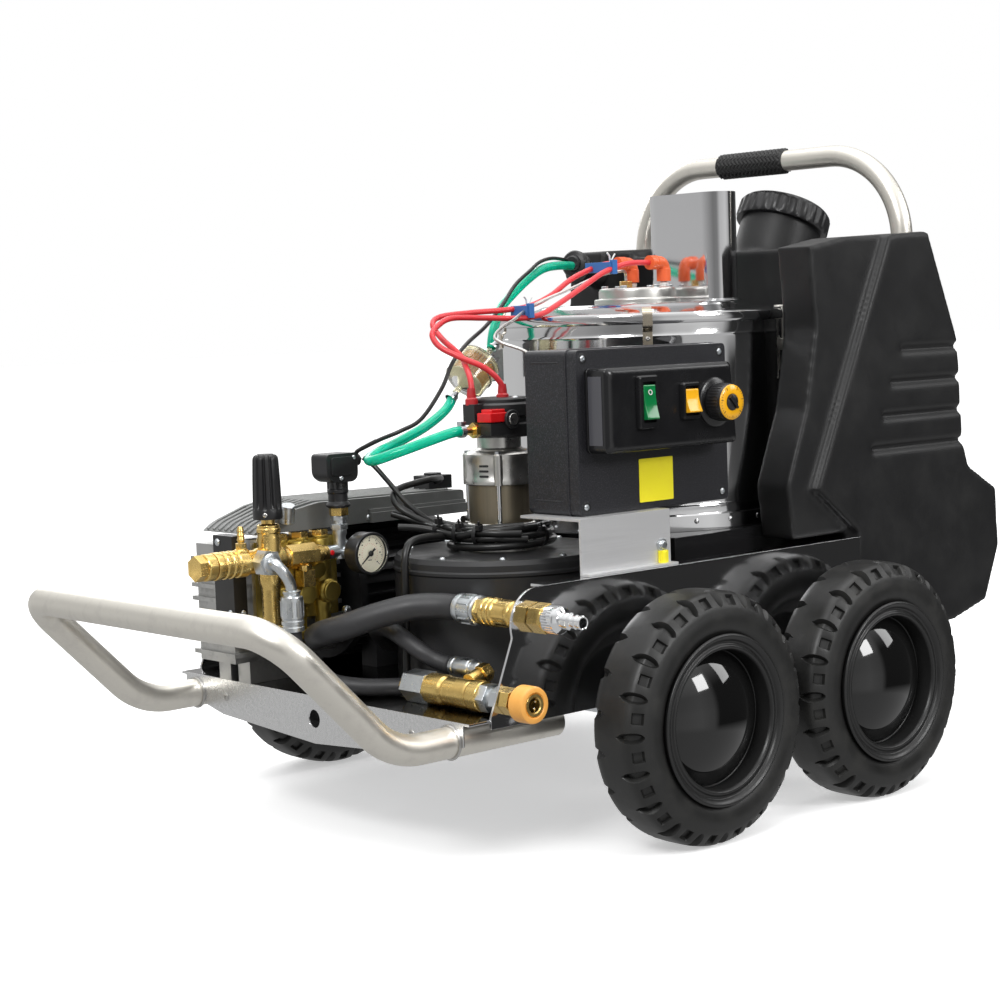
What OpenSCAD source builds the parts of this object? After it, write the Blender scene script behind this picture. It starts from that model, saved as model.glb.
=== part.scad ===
// Hot-water pressure washer on four wheels.
// +X points to the water tank at the back, -Y to the side with the controls,
// +Z up. The origin is on the floor, under the middle of the machine.

/* [Chassis] */
// Height of the deck's top face above the floor
deck_top = 168; // [166:1:170]
// Distance from the middle to the front edge of the deck
deck_front = 364; // [350:1:370]
// Distance from the middle to the rear edge of the deck
deck_rear = 420; // [400:1:440]
// Thickness of the stainless sheet
sheet_t = 3; // [2:0.5:3]
// Distance from the middle to the outer face of each side plate
plate_y = 274.5; // [272:0.5:276]
// Height of the top edge of the side plates
plate_top = 303; // [300:1:304]

/* [Wheels] */
// Diameter of each tyre
tyre_d = 285; // [280:1:290]
// Width of each tyre
tyre_w = 79; // [75:1:82]
// Distance from the middle to the outer face of each tyre
tyre_face = 383; // [380:1:386]
// Place of the front axle along the machine
front_axle_x = -86; // [-90:1:-80]
// Place of the rear axle along the machine
rear_axle_x = 214; // [205:1:220]
// Diameter of the axle ends
axle_d = 20; // [18:1:22]

/* [Tubes] */
// Diameter of the bumper tube
bumper_d = 34; // [30:1:34]
// Distance from the middle to the middle of each bumper leg
bumper_y = 240; // [230:1:242]
// Diameter of the handle tube
handle_d = 28; // [25:1:30]
// Height of the middle of the handle's top bar
handle_z = 791; // [780:1:800]

/* [Boiler] */
// Radius of the boiler's shell
boiler_r = 182; // [178:1:183]
// Place of the boiler's axis along the machine
boiler_x = 185; // [184:1:186]
// Height of the bottom of the boiler's shell
boiler_z = 322; // [320:1:324]
// Height of the top of the boiler's shell
boiler_top = 578; // [576:1:580]

/* [Control box] */
// Length of the control box
box_l = 248; // [240:1:250]
// Height of the control box
box_h = 186; // [180:1:188]
// Distance from the middle to the front of the control box
box_y = 240; // [238:1:242]
// How far the switch console stands out of the lid
console_d = 33; // [30:1:35]

/* [Hidden] */

// Facets of round things: fine ones, and ordinary ones.
fine = 96;
round_n = 48;

wheel_r = tyre_d / 2;
deck_under = deck_top - sheet_t;
plate_in = plate_y - sheet_t;
gap = 0.3;
run_gap = 0.05;
rim_seat_r = 91;

// Ranges of the tank along the machine.
tank_back = 603;
tank_side = 265;
tank_mid_x = 382;
wing_in = 200;
tank_split = 124;
tank_wall = 6;

// The pump's outlet row runs along X through this line.
row_y = 45;
row_z = 324;
unloader_x = -384;
tee_x = -282;
gauge_x = -280;

// The motor and the pump's crank share one axis along X.
crank_y = 160;
crank_z = 262;

// Upright axis of the burner's fan and of its motor.
fan_x = -136;
fan_y = -80;

box_x = -162;
box_z = 367;
box_back = -156.5;
lid_t = 18;
face_y = -box_y - lid_t / 6;
console_y = face_y - console_d;

// ---------------------------------------------------------------- helpers

module rod_x(p, l, r, n = round_n) {
    translate(p) rotate([0, 90, 0]) cylinder(h = l, r = r, $fn = n);
}

module rod_y(p, l, r, n = round_n) {
    translate(p) rotate([-90, 0, 0]) cylinder(h = l, r = r, $fn = n);
}

module rod_z(p, l, r, n = round_n) {
    translate(p) cylinder(h = l, r = r, $fn = n);
}

// A hexagon bar along X, Y or Z; w is its width across the flats.
module hex_x(p, l, w) {
    rod_x(p, l, w / sqrt(3), 6);
}

module hex_y(p, l, w) {
    rod_y(p, l, w / sqrt(3), 6);
}

module hex_z(p, l, w) {
    rod_z(p, l, w / sqrt(3), 6);
}

// A rectangle from the origin with round corners.
module round_rect(w, h, r) {
    translate([r, 0]) square([w - 2 * r, h]);
    translate([0, r]) square([w, h - 2 * r]);
    for (x = [r, w - r], y = [r, h - r])
        translate([x, y]) circle(r, $fn = 32);
}

// A plate that stands across Y, drawn as [x, z], from y to y + t.
module plate_y(y, t) {
    translate([0, y + t, 0]) rotate([90, 0, 0]) linear_extrude(t) children();
}

// Both sides of the machine.
module both_sides() {
    children();
    mirror([0, 1, 0]) children();
}

// A quarter or other part of a round bend in the XY plane about the origin.
module bend(bend_r, r, angle) {
    rotate_extrude(angle = angle, $fn = fine)
        translate([bend_r, 0]) circle(r, $fn = round_n);
}

function unit(v) = v / norm(v);

// Catmull-Rom point between p[1] and p[2].
function spline_point(p, t) =
    0.5 * (2 * p[1] + (p[2] - p[0]) * t
        + (2 * p[0] - 5 * p[1] + 4 * p[2] - p[3]) * t * t
        + (3 * p[1] - p[0] - 3 * p[2] + p[3]) * t * t * t);

// A route's points joined by a smooth curve, with n steps a stretch.
function smooth(route, n) =
    let (last = len(route) - 1)
    [
        for (i = [0 : last - 1], k = [0 : n - 1])
            spline_point([
                route[max(i - 1, 0)], route[i], route[i + 1],
                route[min(i + 2, last)]
            ], k / n),
        route[last]
    ];

// A side direction carried along the path without twist.
function side_dirs(path, i = 0, prev = [0.31, 0.17, 0.93]) =
    i > len(path) - 1 ? [] :
    let (
        a = path[max(i - 1, 0)],
        b = path[min(i + 1, len(path) - 1)],
        t = unit(b - a),
        s = unit(prev - t * (prev * t))
    )
    concat([[s, cross(t, s)]], side_dirs(path, i + 1, s));

// A round bar of radius r swept along the points of a path.
module tube(path, r, sides) {
    dirs = side_dirs(path);
    rings = len(path);
    points = [
        for (i = [0 : rings - 1], k = [0 : sides - 1])
            path[i] + r * (dirs[i][0] * cos(k * 360 / sides)
                + dirs[i][1] * sin(k * 360 / sides))
    ];
    skin = [
        for (i = [0 : rings - 2], k = [0 : sides - 1])
            [
                i * sides + k, i * sides + (k + 1) % sides,
                (i + 1) * sides + (k + 1) % sides, (i + 1) * sides + k
            ]
    ];
    ends = [
        [for (k = [sides - 1 : -1 : 0]) k],
        [for (k = [0 : sides - 1]) (rings - 1) * sides + k]
    ];
    polyhedron(points, concat([for (f = skin) [f[3], f[2], f[1], f[0]]],
        [for (e = ends) [for (k = [len(e) - 1 : -1 : 0]) e[k]]]));
}

// A round hose or cable of diameter d along a route.
module hose(route, d, n = 3, sides = 8) {
    tube(smooth(route, n), d / 2, sides);
}

// The same outline moved in by d on every side; points run anticlockwise.
function moved_in(p, d) =
    let (n = len(p))
    [
        for (i = [0 : n - 1])
            let (
                a = unit(p[i] - p[(i + n - 1) % n]),
                b = unit(p[(i + 1) % n] - p[i]),
                na = [-a[1], a[0]],
                nb = [-b[1], b[0]]
            )
            p[i] + d * (na + nb) / (1 + na * nb)
    ];

// ---------------------------------------------------------------- chassis

flange_low = 112;

module flange_outline() {
    polygon([
        [-262, deck_under], [-262, 142], [-185, 124], [0, flange_low],
        [185, 124], [262, 142], [262, deck_under]
    ]);
}

module deck() {
    color("gainsboro") difference() {
        union() {
            translate([-deck_front, -plate_in, deck_under])
                cube([deck_front + deck_rear, 2 * plate_in, sheet_t]);
            translate([-deck_front, 0, 0]) rotate([90, 0, 90])
                linear_extrude(2) flange_outline();
        }
        rod_x([-deck_front - 1, 0, 141], 4, 10.5);
        both_sides() rod_x([-deck_front - 1, -bumper_y, 145], 4, bumper_d / 2 + 0.4);
        both_sides() translate([-deck_front - 1, -bumper_y - 17.4, 100])
            cube([4, 34.8, 45]);
    }
}

module plate_outline() {
    difference() {
        union() {
            polygon([
                [-335, 158], [290, 158], [290, plate_top], [-262, plate_top],
                [-300, 262], [-301, 250], [-335, 170]
            ]);
            translate([-262, plate_top - 40]) circle(40, $fn = fine);
        }
        translate([-310, plate_top]) square([60, 20]);
    }
}

inlet_x = -266;
inlet_z = 270;
outlet_x = -312;
outlet_z = 186;

module side_plate() {
    plate_y(-plate_y, sheet_t) plate_outline();
    translate([-250, -plate_y, plate_top - sheet_t]) cube([540, 24, sheet_t]);
}

module side_plates() {
    color("gainsboro") {
        difference() {
            side_plate();
            rod_y([inlet_x, -280, inlet_z], 10, 10);
            rod_y([outlet_x, -280, outlet_z], 10, 9);
        }
        mirror([0, 1, 0]) side_plate();
    }
}

axle_z = tyre_d / 2;
axle_end = 352;

module axle(x) {
    rod_y([x, -296, axle_z], 592, 15);
    rod_y([x, -axle_end, axle_z], 2 * axle_end, axle_d / 2);
    for (y = [-170, 130])
        translate([x - 20, y, axle_z]) cube([40, 40, deck_under - axle_z - gap]);
}

module axles() {
    color("silver") for (x = [front_axle_x, rear_axle_x]) axle(x);
}

// The bumper: two legs under the deck, rising at 45 degrees to a cross bar.
bumper_leg_z = 145;
bumper_end_x = -211;
bumper_front_x = -586;
bumper_top_z = 288;
knee_r = 90;
corner_r = 46;

// Points along the near half of the bumper, from its end to the middle: a
// straight leg, a knee of 45 degrees and a corner in the plane of the slope.
knee_x = bumper_front_x + bumper_top_z - bumper_leg_z + knee_r * tan(22.5);
bumper_half = concat(
    [[bumper_end_x, -bumper_y, bumper_leg_z]],
    [
        for (a = [0 : 9 : 45])
            [knee_x - knee_r * sin(a), -bumper_y, bumper_leg_z + knee_r * (1 - cos(a))]
    ],
    [
        for (a = [0 : 9 : 90])
            let (down = corner_r * (1 - sin(a)) / sqrt(2))
            [
                bumper_front_x + down,
                corner_r * (1 - cos(a)) - bumper_y,
                bumper_top_z - down
            ]
    ]
);

module bumper_bar() {
    last = len(bumper_half) - 1;
    far_half = [for (i = [last : -1 : 0]) [for (k = [0 : 2]) bumper_half[i][k] * (k == 1 ? -1 : 1)]];
    color("silver") tube(concat(bumper_half, far_half), bumper_d / 2, 24);
}

handle_x = 444;
handle_y = 231;
handle_low = 600;
handle_r = 115;

module handle_tube() {
    r = handle_d / 2;
    bar = 2 * (handle_y - handle_r);
    color("silver") {
        both_sides() {
            rod_z([handle_x, -handle_y, handle_low], handle_z - handle_r - handle_low, r);
            translate([handle_x, handle_r - handle_y, handle_z - handle_r])
                rotate([90, 0, 90]) rotate([0, 0, 90]) bend(handle_r, r, 90);
        }
        rod_y([handle_x, -bar / 2, handle_z], bar, r);
    }
}

module handle_grip() {
    color("#202020") difference() {
        rod_y([handle_x, -41, handle_z], 119, handle_d / 2 + 3.5);
        rod_y([handle_x, -42, handle_z], 121, handle_d / 2 + run_gap);
    }
}

// ---------------------------------------------------------------- tanks

// Side outline of the tank's two wings, from the front foot round the back.
wing = [
    [190, 307], [292, 307], [292, 171.5], [500, 171.5], [572, 190],
    [tank_back, 261], [598, 340], [537, 374], [525, 409], [517, 541],
    [456, 684], [294, 677], [230, 666], [240, 566], [219, 467], [180, 373]
];

// Outline of the middle stretch, behind the boiler.
middle = [
    [tank_mid_x, 171.5], [500, 171.5], [572, 190], [tank_back, 261],
    [598, 340], [537, 374], [525, 409], [517, 541], [470, 655],
    [tank_mid_x, 672]
];

// The outer skin of the wings stands back in front of the diagonal rib.
rib = [
    [286, 318], [300, 307], [292, 171.5], [500, 171.5], [572, 190],
    [tank_back, 261], [598, 340], [537, 374], [525, 409], [517, 541],
    [456, 684], [374, 680], [222, 367]
];

rib_depth = 12;
groove_z = [409, 450, 492, 534];
groove_x = [330, 353, 371, 393];

module handle_socket() {
    rod_z([handle_x, -handle_y, handle_low - gap], 110, handle_d / 2 + gap);
}

module grooves() {
    for (i = [0 : 3]) translate([groove_x[i], -tank_side - 1, groove_z[i] - 5])
        cube([250, 8, 10]);
}

module wing_solid() {
    plate_y(rib_depth - tank_side, tank_side - rib_depth - wing_in) polygon(wing);
    plate_y(-tank_side, rib_depth) polygon(rib);
}

neck_x = 460;
neck_z = 668;
neck_tilt = 25;
neck_h = 64;
neck_r = 56;

module on_neck() {
    translate([neck_x, 0, neck_z]) rotate([0, neck_tilt, 0]) children();
}

module water_tank() {
    color("#262626") difference() {
        union() {
            wing_solid();
            plate_y(-wing_in, wing_in + tank_split - 1) polygon(middle);
            on_neck() translate([0, 0, -40]) cylinder(h = neck_h + 40, r = neck_r, $fn = fine);
        }
        plate_y(tank_wall - wing_in, wing_in + tank_split - 1 - 2 * tank_wall)
            polygon(moved_in(middle, tank_wall));
        on_neck() translate([0, 0, -34]) cylinder(h = neck_h + 35, r = neck_r - tank_wall, $fn = fine);
        handle_socket();
        grooves();
    }
}

// The fuel tank's wing is the far one; it starts further back.
far_wing = [
    [250, 307], [292, 307], [292, 171.5], [500, 171.5], [572, 190],
    [tank_back, 261], [598, 340], [537, 374], [525, 409], [517, 541],
    [456, 684], [324, 680], [316, 600], [300, 467], [262, 373]
];

// The hoses enter the fuel tank through a bung on a short forward neck.
module bung_axis() {
    translate([322, 205, 640]) rotate([0, -70, 0]) children();
}

module fuel_tank() {
    color("#262626") difference() {
        union() {
            plate_y(wing_in, tank_side - wing_in) polygon(far_wing);
            plate_y(tank_split, wing_in - tank_split) polygon(middle);
            bung_axis() cylinder(h = 50, r = 15, $fn = round_n);
            bung_axis() translate([0, 0, 40]) cylinder(h = 10, r = 23, $fn = round_n);
        }
        plate_y(tank_split + tank_wall, wing_in - tank_split - 2 * tank_wall + 30)
            polygon(moved_in(middle, tank_wall));
        mirror([0, 1, 0]) {
            handle_socket();
            grooves();
        }
    }
}

cap_h = 32;
cap_low = neck_h + 4 - cap_h;

module water_cap() {
    color("#202020") on_neck() difference() {
        union() {
            translate([0, 0, cap_low]) cylinder(h = cap_h, r = 63, $fn = fine);
            for (i = [0 : 23]) rotate([0, 0, i * 15]) translate([63, 0, cap_low])
                cylinder(h = cap_h - 6, r = 2.5, $fn = 16);
        }
        translate([0, 0, cap_low - 1])
            cylinder(h = neck_h + 1 + gap - cap_low, r = neck_r + gap, $fn = fine);
    }
}

// ---------------------------------------------------------------- boiler

base_y = 196;

module boiler_base() {
    color("slategray") difference() {
        translate([37, -base_y, deck_top + gap])
            cube([339, 2 * base_y, boiler_z - deck_top - 2 * gap]);
        translate([40, 3 - base_y, deck_top - 1])
            cube([333, 2 * base_y - 6, boiler_z - deck_top - 4]);
        rod_z([boiler_x, 0, deck_top + 100], 60, 120, fine);
        translate([30, -95, deck_top + 20]) cube([20, 90, 100]);
    }
}

module boiler_shell() {
    color("lightgray") difference() {
        union() {
            rod_z([boiler_x, 0, boiler_z], boiler_top - boiler_z, boiler_r, fine);
            rod_z([boiler_x, 0, boiler_z], 20, boiler_r + 3, fine);
        }
        rod_z([boiler_x, 0, boiler_z + 2], boiler_top - boiler_z, boiler_r - 2, fine);
        rod_z([boiler_x, 0, boiler_z - 1], 10, 120, fine);
    }
}

coil_r = 150;
coil_tube_r = 11;
coil_turns = 8;
coil_pitch = 26;

module heating_coil() {
    low = boiler_z + 2 + gap + coil_tube_r;
    color("dimgray") {
        for (i = [0 : coil_turns - 1])
            translate([boiler_x, 0, low + i * coil_pitch])
                bend(coil_r, coil_tube_r, 360);
        for (a = [150, 170])
            translate([boiler_x + coil_r * cos(a), coil_r * sin(a), low])
                cylinder(h = coil_pitch * (coil_turns - 1), r = 8, $fn = round_n);
    }
}

lid_outline = [
    [0, 603], [122, 603], [130, 599], [183, 591], [188, 586], [188, 579],
    [184, 576], [184, 578.5], [181, 588], [130, 596], [122, 600], [0, 600]
];

module boiler_lid() {
    color("lightgray") difference() {
        translate([boiler_x, 0, 0]) rotate_extrude($fn = fine) polygon(lid_outline);
        rod_z([head_x, 0, 590], 20, 40);
        flue_at(590, 20, flue_r - 2);
    }
}

head_x = 186;
flue_x = 282;
flue_y = -13;
flue_r = 27;
flue_half = 40;

module flue_at(z, h, r) {
    for (s = [-1, 1]) rod_z([flue_x, flue_y + s * flue_half, z], h, r, fine);
    translate([flue_x - r, flue_y - flue_half, z]) cube([2 * r, 2 * flue_half, h]);
}

module chimney() {
    color("lightgray") difference() {
        flue_at(603 + gap, 142, flue_r);
        flue_at(600, 150, flue_r - 2);
    }
}

// Things that stand on the boiler's wall at an angle about its axis.
module on_wall(angle) {
    translate([boiler_x, 0, 0]) rotate([0, 0, angle]) children();
}

latch_angle = -42;
latch_z = 545;

module lid_clips() {
    color("tan") for (a = [-132, 150])
        on_wall(a) {
            translate([boiler_r + gap, -6, 552]) cube([2, 12, 22]);
            translate([boiler_r + gap, -6, 572]) cube([8, 12, 2]);
            translate([boiler_r + 6.3, -6, 572]) cube([2, 12, 22.4]);
            translate([boiler_r - 5, -6, 592.4]) cube([13.3, 12, 2]);
        }
    color("silver") on_wall(latch_angle) {
        translate([boiler_r + gap, -10, latch_z - 25]) cube([2, 20, 36]);
        for (y = [-10, 7])
            difference() {
                translate([boiler_r + 1, y, latch_z - 8]) cube([11, 3, 16]);
                rod_y([boiler_r + 7, y - 1, latch_z], 5, 2.1);
            }
    }
}

module latch_lever() {
    color("silver") on_wall(latch_angle) {
        rod_y([boiler_r + 7, -15, latch_z], 30, 2);
        rod_y([boiler_r + 7, -6, latch_z], 12, 4);
        translate([boiler_r + 8, -6, latch_z - 46]) cube([3, 12, 46]);
    }
}

module latch_bail() {
    color("silver") on_wall(latch_angle) {
        for (y = [-14.5, 11.5]) {
            difference() {
                translate([boiler_r + 3.5, y, latch_z - 4]) cube([7, 3, 8]);
                rod_y([boiler_r + 7, y - 1, latch_z], 5, 2.06);
            }
            translate([boiler_r + 7, y, latch_z + 3.5]) cube([3, 3, 47.5]);
        }
        translate([boiler_r - 4, -14.5, latch_z + 48]) cube([14, 29, 3]);
    }
}

head_z = 603 + gap;

module burner_head() {
    color("silver") {
        rod_z([head_x, 0, head_z], 7, 56, fine);
        rod_z([head_x, 0, head_z + 6], 15, 50, fine);
        rod_z([head_x - 2, 18, head_z + 20], 10, 8, 6);
        rod_z([head_x, 0, head_z - 90], 91, 36, fine);
    }
    color("white") for (p = boot_feet) rod_z([p[0], p[1], head_z + 20], 8, 6);
}

boot_feet = [[216, -20], [204, 26]];
boot_low = head_z + 28 + gap;
boot_bend_z = 656;

module ignition_boots() {
    color("orangered") for (p = boot_feet) {
        rod_z([p[0], p[1], boot_low], boot_bend_z - boot_low, 8.5);
        translate([p[0], p[1], boot_bend_z]) sphere(8.5, $fn = round_n);
        rod_x([p[0] - 26, p[1], boot_bend_z], 26, 8);
    }
}

lead_d = 7;
lead_back = [
    [-175, -80, 495], [-172, -74, 520], [-160, -52, 537], [-147, -28, 549],
    [-146, 4, 568], [-142, 26, 585], [-124, 34, 595], [-84, 22, 599],
    [-36, 8, 601], [0, 6, 605], [38, 8, 617], [75, 10, 636], [110, 12, 648],
    [150, 20, 656], [178, 26, 656]
];
lead_front = [
    [-128, -80, 500], [-131, -80, 516], [-148, -72, 534], [-166, -50, 547],
    [-178, -28, 560], [-178, -15, 574], [-164, -10, 585], [-142, -10, 593],
    [-93, -12, 592], [-36, -14, 590], [-2, -16, 594], [33, -18, 609],
    [69, -20, 627], [108, -20, 645], [150, -20, 655], [190, -20, 656]
];

module ignition_leads() {
    color("crimson") {
        hose(lead_back, lead_d, 2);
        hose(lead_front, lead_d, 2);
    }
}

// ---------------------------------------------------------------- burner

fan_case_r = 129;
fan_case_top = 320;
fan_low = deck_top + gap;
motor_low = fan_case_top + gap;
burner_motor_r = 41;
shaft_r = 6;

module fan_housing() {
    color("#1c1c1c") difference() {
        union() {
            rod_z([fan_x, fan_y, fan_low], fan_case_top - fan_low, fan_case_r, fine);
            translate([fan_x, -90, deck_top + 22]) cube([36.5 - fan_x, 80, 96]);
        }
        rod_z([fan_x, fan_y, fan_low + 4], fan_case_top - fan_low - 8, fan_case_r - 4, fine);
        translate([fan_x, -86, deck_top + 26]) cube([200, 72, 88]);
        rod_z([fan_x, fan_y, fan_case_top - 10], 20, shaft_r + 2);
    }
}

fan_blades = 24;

module fan_wheel() {
    low = fan_low + 12;
    color("darkgray") {
        difference() {
            rod_z([fan_x, fan_y, low], 3, 108, fine);
            rod_z([fan_x, fan_y, low - 1], 1.2, 3);
        }
        rod_z([fan_x, fan_y, low], 190, shaft_r);
        rod_z([fan_x, fan_y, low], 24, 16);
        translate([fan_x, fan_y, low]) for (i = [0 : fan_blades - 1])
            rotate([0, 0, i * 360 / fan_blades]) translate([88, -1, 0]) cube([18, 2, 80]);
        translate([fan_x, fan_y, low + 78]) rotate_extrude($fn = fine)
            translate([86, 0]) square([22, 3]);
    }
}

module burner_motor() {
    color("silver") difference() {
        union() {
            rod_z([fan_x, fan_y, motor_low], 24, 34, fine);
            rod_z([fan_x, fan_y, motor_low + 23], 10, burner_motor_r, fine);
            rod_z([fan_x, fan_y, motor_low + 32], 46, burner_motor_r - 3, fine);
            rod_z([fan_x, fan_y, motor_low + 77], 38, burner_motor_r, fine);
            rod_z([fan_x, fan_y, motor_low + 114], 18, 26, fine);
            for (a = [45 : 90 : 315]) translate([
                fan_x + 38 * cos(a), fan_y + 38 * sin(a), motor_low + 23
            ]) cylinder(h = 92, r = 5, $fn = 24);
        }
        rod_z([fan_x, fan_y, motor_low - 1], 82, shaft_r + run_gap);
    }
}

fuel_pump_z = motor_low + 132 + gap;

module fuel_pump() {
    color("#202020") {
        rod_z([fan_x + 4, fan_y, fuel_pump_z], 40, 38, fine);
        rod_z([fan_x + 4, fan_y, fuel_pump_z + 39], 6, 34, fine);
        translate([fan_x - 44, fan_y - 36, fuel_pump_z + 4]) cube([40, 22, 16]);
        translate([fan_x - 46, fan_y - 10, fuel_pump_z + 16]) cube([20, 20, 24]);
    }
    color("red") translate([fan_x - 45, fan_y - 37, fuel_pump_z + 19])
        cube([30, 24, 15]);
    color("goldenrod") {
        rod_x([fan_x - 64, fan_y - 10, fuel_pump_z + 10], 34, 5);
        hex_x([fan_x - 50, fan_y - 10, fuel_pump_z + 10], 8, 16);
    }
}

filter_high = [-38, 40, 552];
filter_low = [-99, 40, 501];

module fuel_filter() {
    lean = atan2(filter_high[0] - filter_low[0], filter_high[2] - filter_low[2]);
    l = norm(filter_high - filter_low);
    color("khaki") translate(filter_low) rotate([0, lean, 0]) {
        cylinder(h = l, r = 4, $fn = 24);
        translate([0, 0, 12]) cylinder(h = 8, r1 = 8, r2 = 27, $fn = round_n);
        translate([0, 0, 20]) cylinder(h = l - 40, r = 27, $fn = round_n);
        translate([0, 0, l - 20]) cylinder(h = 8, r1 = 27, r2 = 8, $fn = round_n);
    }
    color("silver") translate([-38, 52, 512]) cube([32, 2, 40]);
}

fuel_hose_d = 12;
fuel_feed = [
    [-36, 40, 554], [-26, 46, 576], [2, 62, 603], [45, 85, 622],
    [100, 115, 641], [160, 150, 655], [220, 182, 660], [268, 202, 660]
];
fuel_loop = [
    [-101, 40, 499], [-116, 38, 482], [-155, 30, 464], [-205, 18, 450],
    [-250, 4, 440], [-280, -14, 434], [-288, -36, 434], [-272, -60, 443],
    [-240, -80, 455], [-216, -89, 462], [-200, -90, 463]
];
fuel_pipe = [
    [-110, -122, 475], [-110, -128, 500], [-112, -116, 545], [-132, -84, 563],
    [-126, -68, 570], [-98, -50, 580], [-65, -34, 588], [0, -2, 606],
    [73, 0, 627], [121, 2, 641], [160, 6, 646], [178, 14, 645.5],
    [184, 18, 641], [184, 18, 633.8]
];

module fuel_hoses() {
    color("mediumseagreen") {
        hose(fuel_feed, fuel_hose_d, 2);
        hose(fuel_loop, fuel_hose_d, 2);
    }
    color("silver") hose(fuel_pipe, 4, 2);
}

sensor_cable = [
    [268, 212, 668], [205, 178, 670], [150, 145, 664], [95, 105, 652],
    [40, 75, 633], [-4, 52, 608], [-60, 22, 582], [-109, 2, 562],
    [-142, -8, 540], [-164, -12, 510], [-197, -12, 476], [-221, -2, 463],
    [-238, 18, 453], [-252, 38, 442]
];
switch_cable = [
    [-246, 40, 432], [-238, 30, 422], [-232, 10, 402], [-226, -12, 380],
    [-214, -30, 362], [-200, -42, 350]
];
motor_cable = [
    [-200, -50, 345], [-232, -10, 372], [-222, 10, 392], [-160, 20, 400],
    [-110, 60, 396], [-90, 100, 388]
];
drop_cable = [
    [-190, -58, 338], [-226, -56, 341], [-256, -57, 338], [-269, -60, 322],
    [-272, -62, 290], [-273, -62, 250], [-275, -63, 210], [-277, -64, 172.5]
];
loom_r = 62;
loom_d = 9;
loom_low = fan_case_top + 5;

module cable_loom() {
    color("#181818") {
        for (i = [0 : 2]) translate([fan_x, fan_y, loom_low + i * 9.4])
            rotate_extrude($fn = round_n)
                translate([loom_r - i * 5, 0]) circle(loom_d / 2, $fn = 16);
        hose(sensor_cable, 5, 2);
        hose(switch_cable, 6, 3);
        hose(motor_cable, 8, 3);
        hose(drop_cable, 9, 3);
    }
}

// ---------------------------------------------------------------- motor and pump

motor_x = -228;
motor_back = -61;
motor_r = 84;

module motor_body() {
    l = motor_back - motor_x;
    color("#222222") difference() {
        union() {
            rod_x([motor_x, crank_y, crank_z], l, motor_r - 8, fine);
            for (a = [0 : 10 : 350])
                translate([motor_x + 6, crank_y, crank_z]) rotate([a, 0, 0])
                    translate([0, -1.2, 0]) cube([l - 24, 2.4, motor_r]);
            rod_x([motor_x, crank_y, crank_z], 10, motor_r, fine);
            rod_x([motor_back - 14, crank_y, crank_z], 14, motor_r, fine);
            for (y = [crank_y - 70, crank_y + 40])
                translate([motor_x + 30, y, deck_top + gap]) cube([l - 60, 30, 50]);
        }
        rod_x([motor_x + 14, crank_y, crank_z], l - 28, 48, fine);
        rod_x([motor_x - 1, crank_y, crank_z], l - 8, 14 + run_gap);
    }
}

module motor_rotor() {
    color("silver") {
        rod_x([-372, crank_y, crank_z], motor_back - 12 + 372, 14);
        rod_x([motor_x + 26, crank_y, crank_z], motor_back - motor_x - 52, 47, fine);
    }
}

cover_x = -387;
cover_low = 350;
cover_top = 381;

module motor_cover() {
    color("dimgray") difference() {
        union() {
            plate_y(74, 104) polygon([
                [cover_x, cover_low], [-61, cover_low], [-61, cover_top - 3],
                [-290, cover_top], [-330, 374], [-372, 360]
            ]);
            translate([-215, 66, cover_low]) cube([154, 9, 12]);
        }
        plate_y(78, 96) polygon([
            [cover_x + 8, cover_low - 1], [-65, cover_low - 1],
            [-65, cover_top - 7], [-290, cover_top - 4], [-330, 370], [-368, 357]
        ]);
        for (i = [0 : 6]) translate([-372, 86 + i * 12, 356]) rotate([0, -18, 0])
            cube([44, 5, 30]);
    }
}

crankcase_x = -396.5;

module pump_crankcase() {
    color("#1c1c1c") translate([-415, 75, 254]) difference() {
        cube([18, 38, 98]);
        for (z = [8, 90]) rod_x([-1, 6 + z / 4, z], 5, 2, 24);
    }
    color("silver") difference() {
        union() {
            translate([crankcase_x + 6, 114, 196]) cube([150, 72, 140]);
            translate([crankcase_x + 60, 103, 240]) cube([80, 12, 90]);
            for (i = [0 : 7]) translate([crankcase_x, 106, 204 + i * 16])
                cube([160, 84, 5]);
            for (y = [120, 160]) translate([crankcase_x + 30, y, deck_top + gap])
                cube([90, 24, 40]);
        }
        rod_x([crankcase_x + 14, crank_y, crank_z], 140, 22, fine);
        rod_x([crankcase_x + 20, crank_y, crank_z], 160, 14 + run_gap);
    }
}

head_y = 62;
low_caps_x = [-360, -324, -288];
top_caps_x = [-344, -314, -284];

module pump_head() {
    color("goldenrod") {
        translate([-374, head_y, 244]) cube([112, 40, 96]);
        for (x = low_caps_x) {
            rod_y([x, head_y - 8, 276], 12, 11);
            rod_z([x, head_y + 12, 222], 30, 12);
        }
        for (x = top_caps_x) hex_z([x, head_y + 22, 339], 9, 20);
        for (x = [-342, -307]) rod_y([x, head_y - 5, 300], 9, 11);
    }
    color("silver") for (z = [250, 330], x = [-372, -264])
        rod_y([x, head_y - 2.5, z], 8, 4);
}

elbow = [
    [-404, 16, 324], [-404, 6, 323], [-398, 0, 314], [-388, 2, 300],
    [-385, 4, 286]
];

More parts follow.
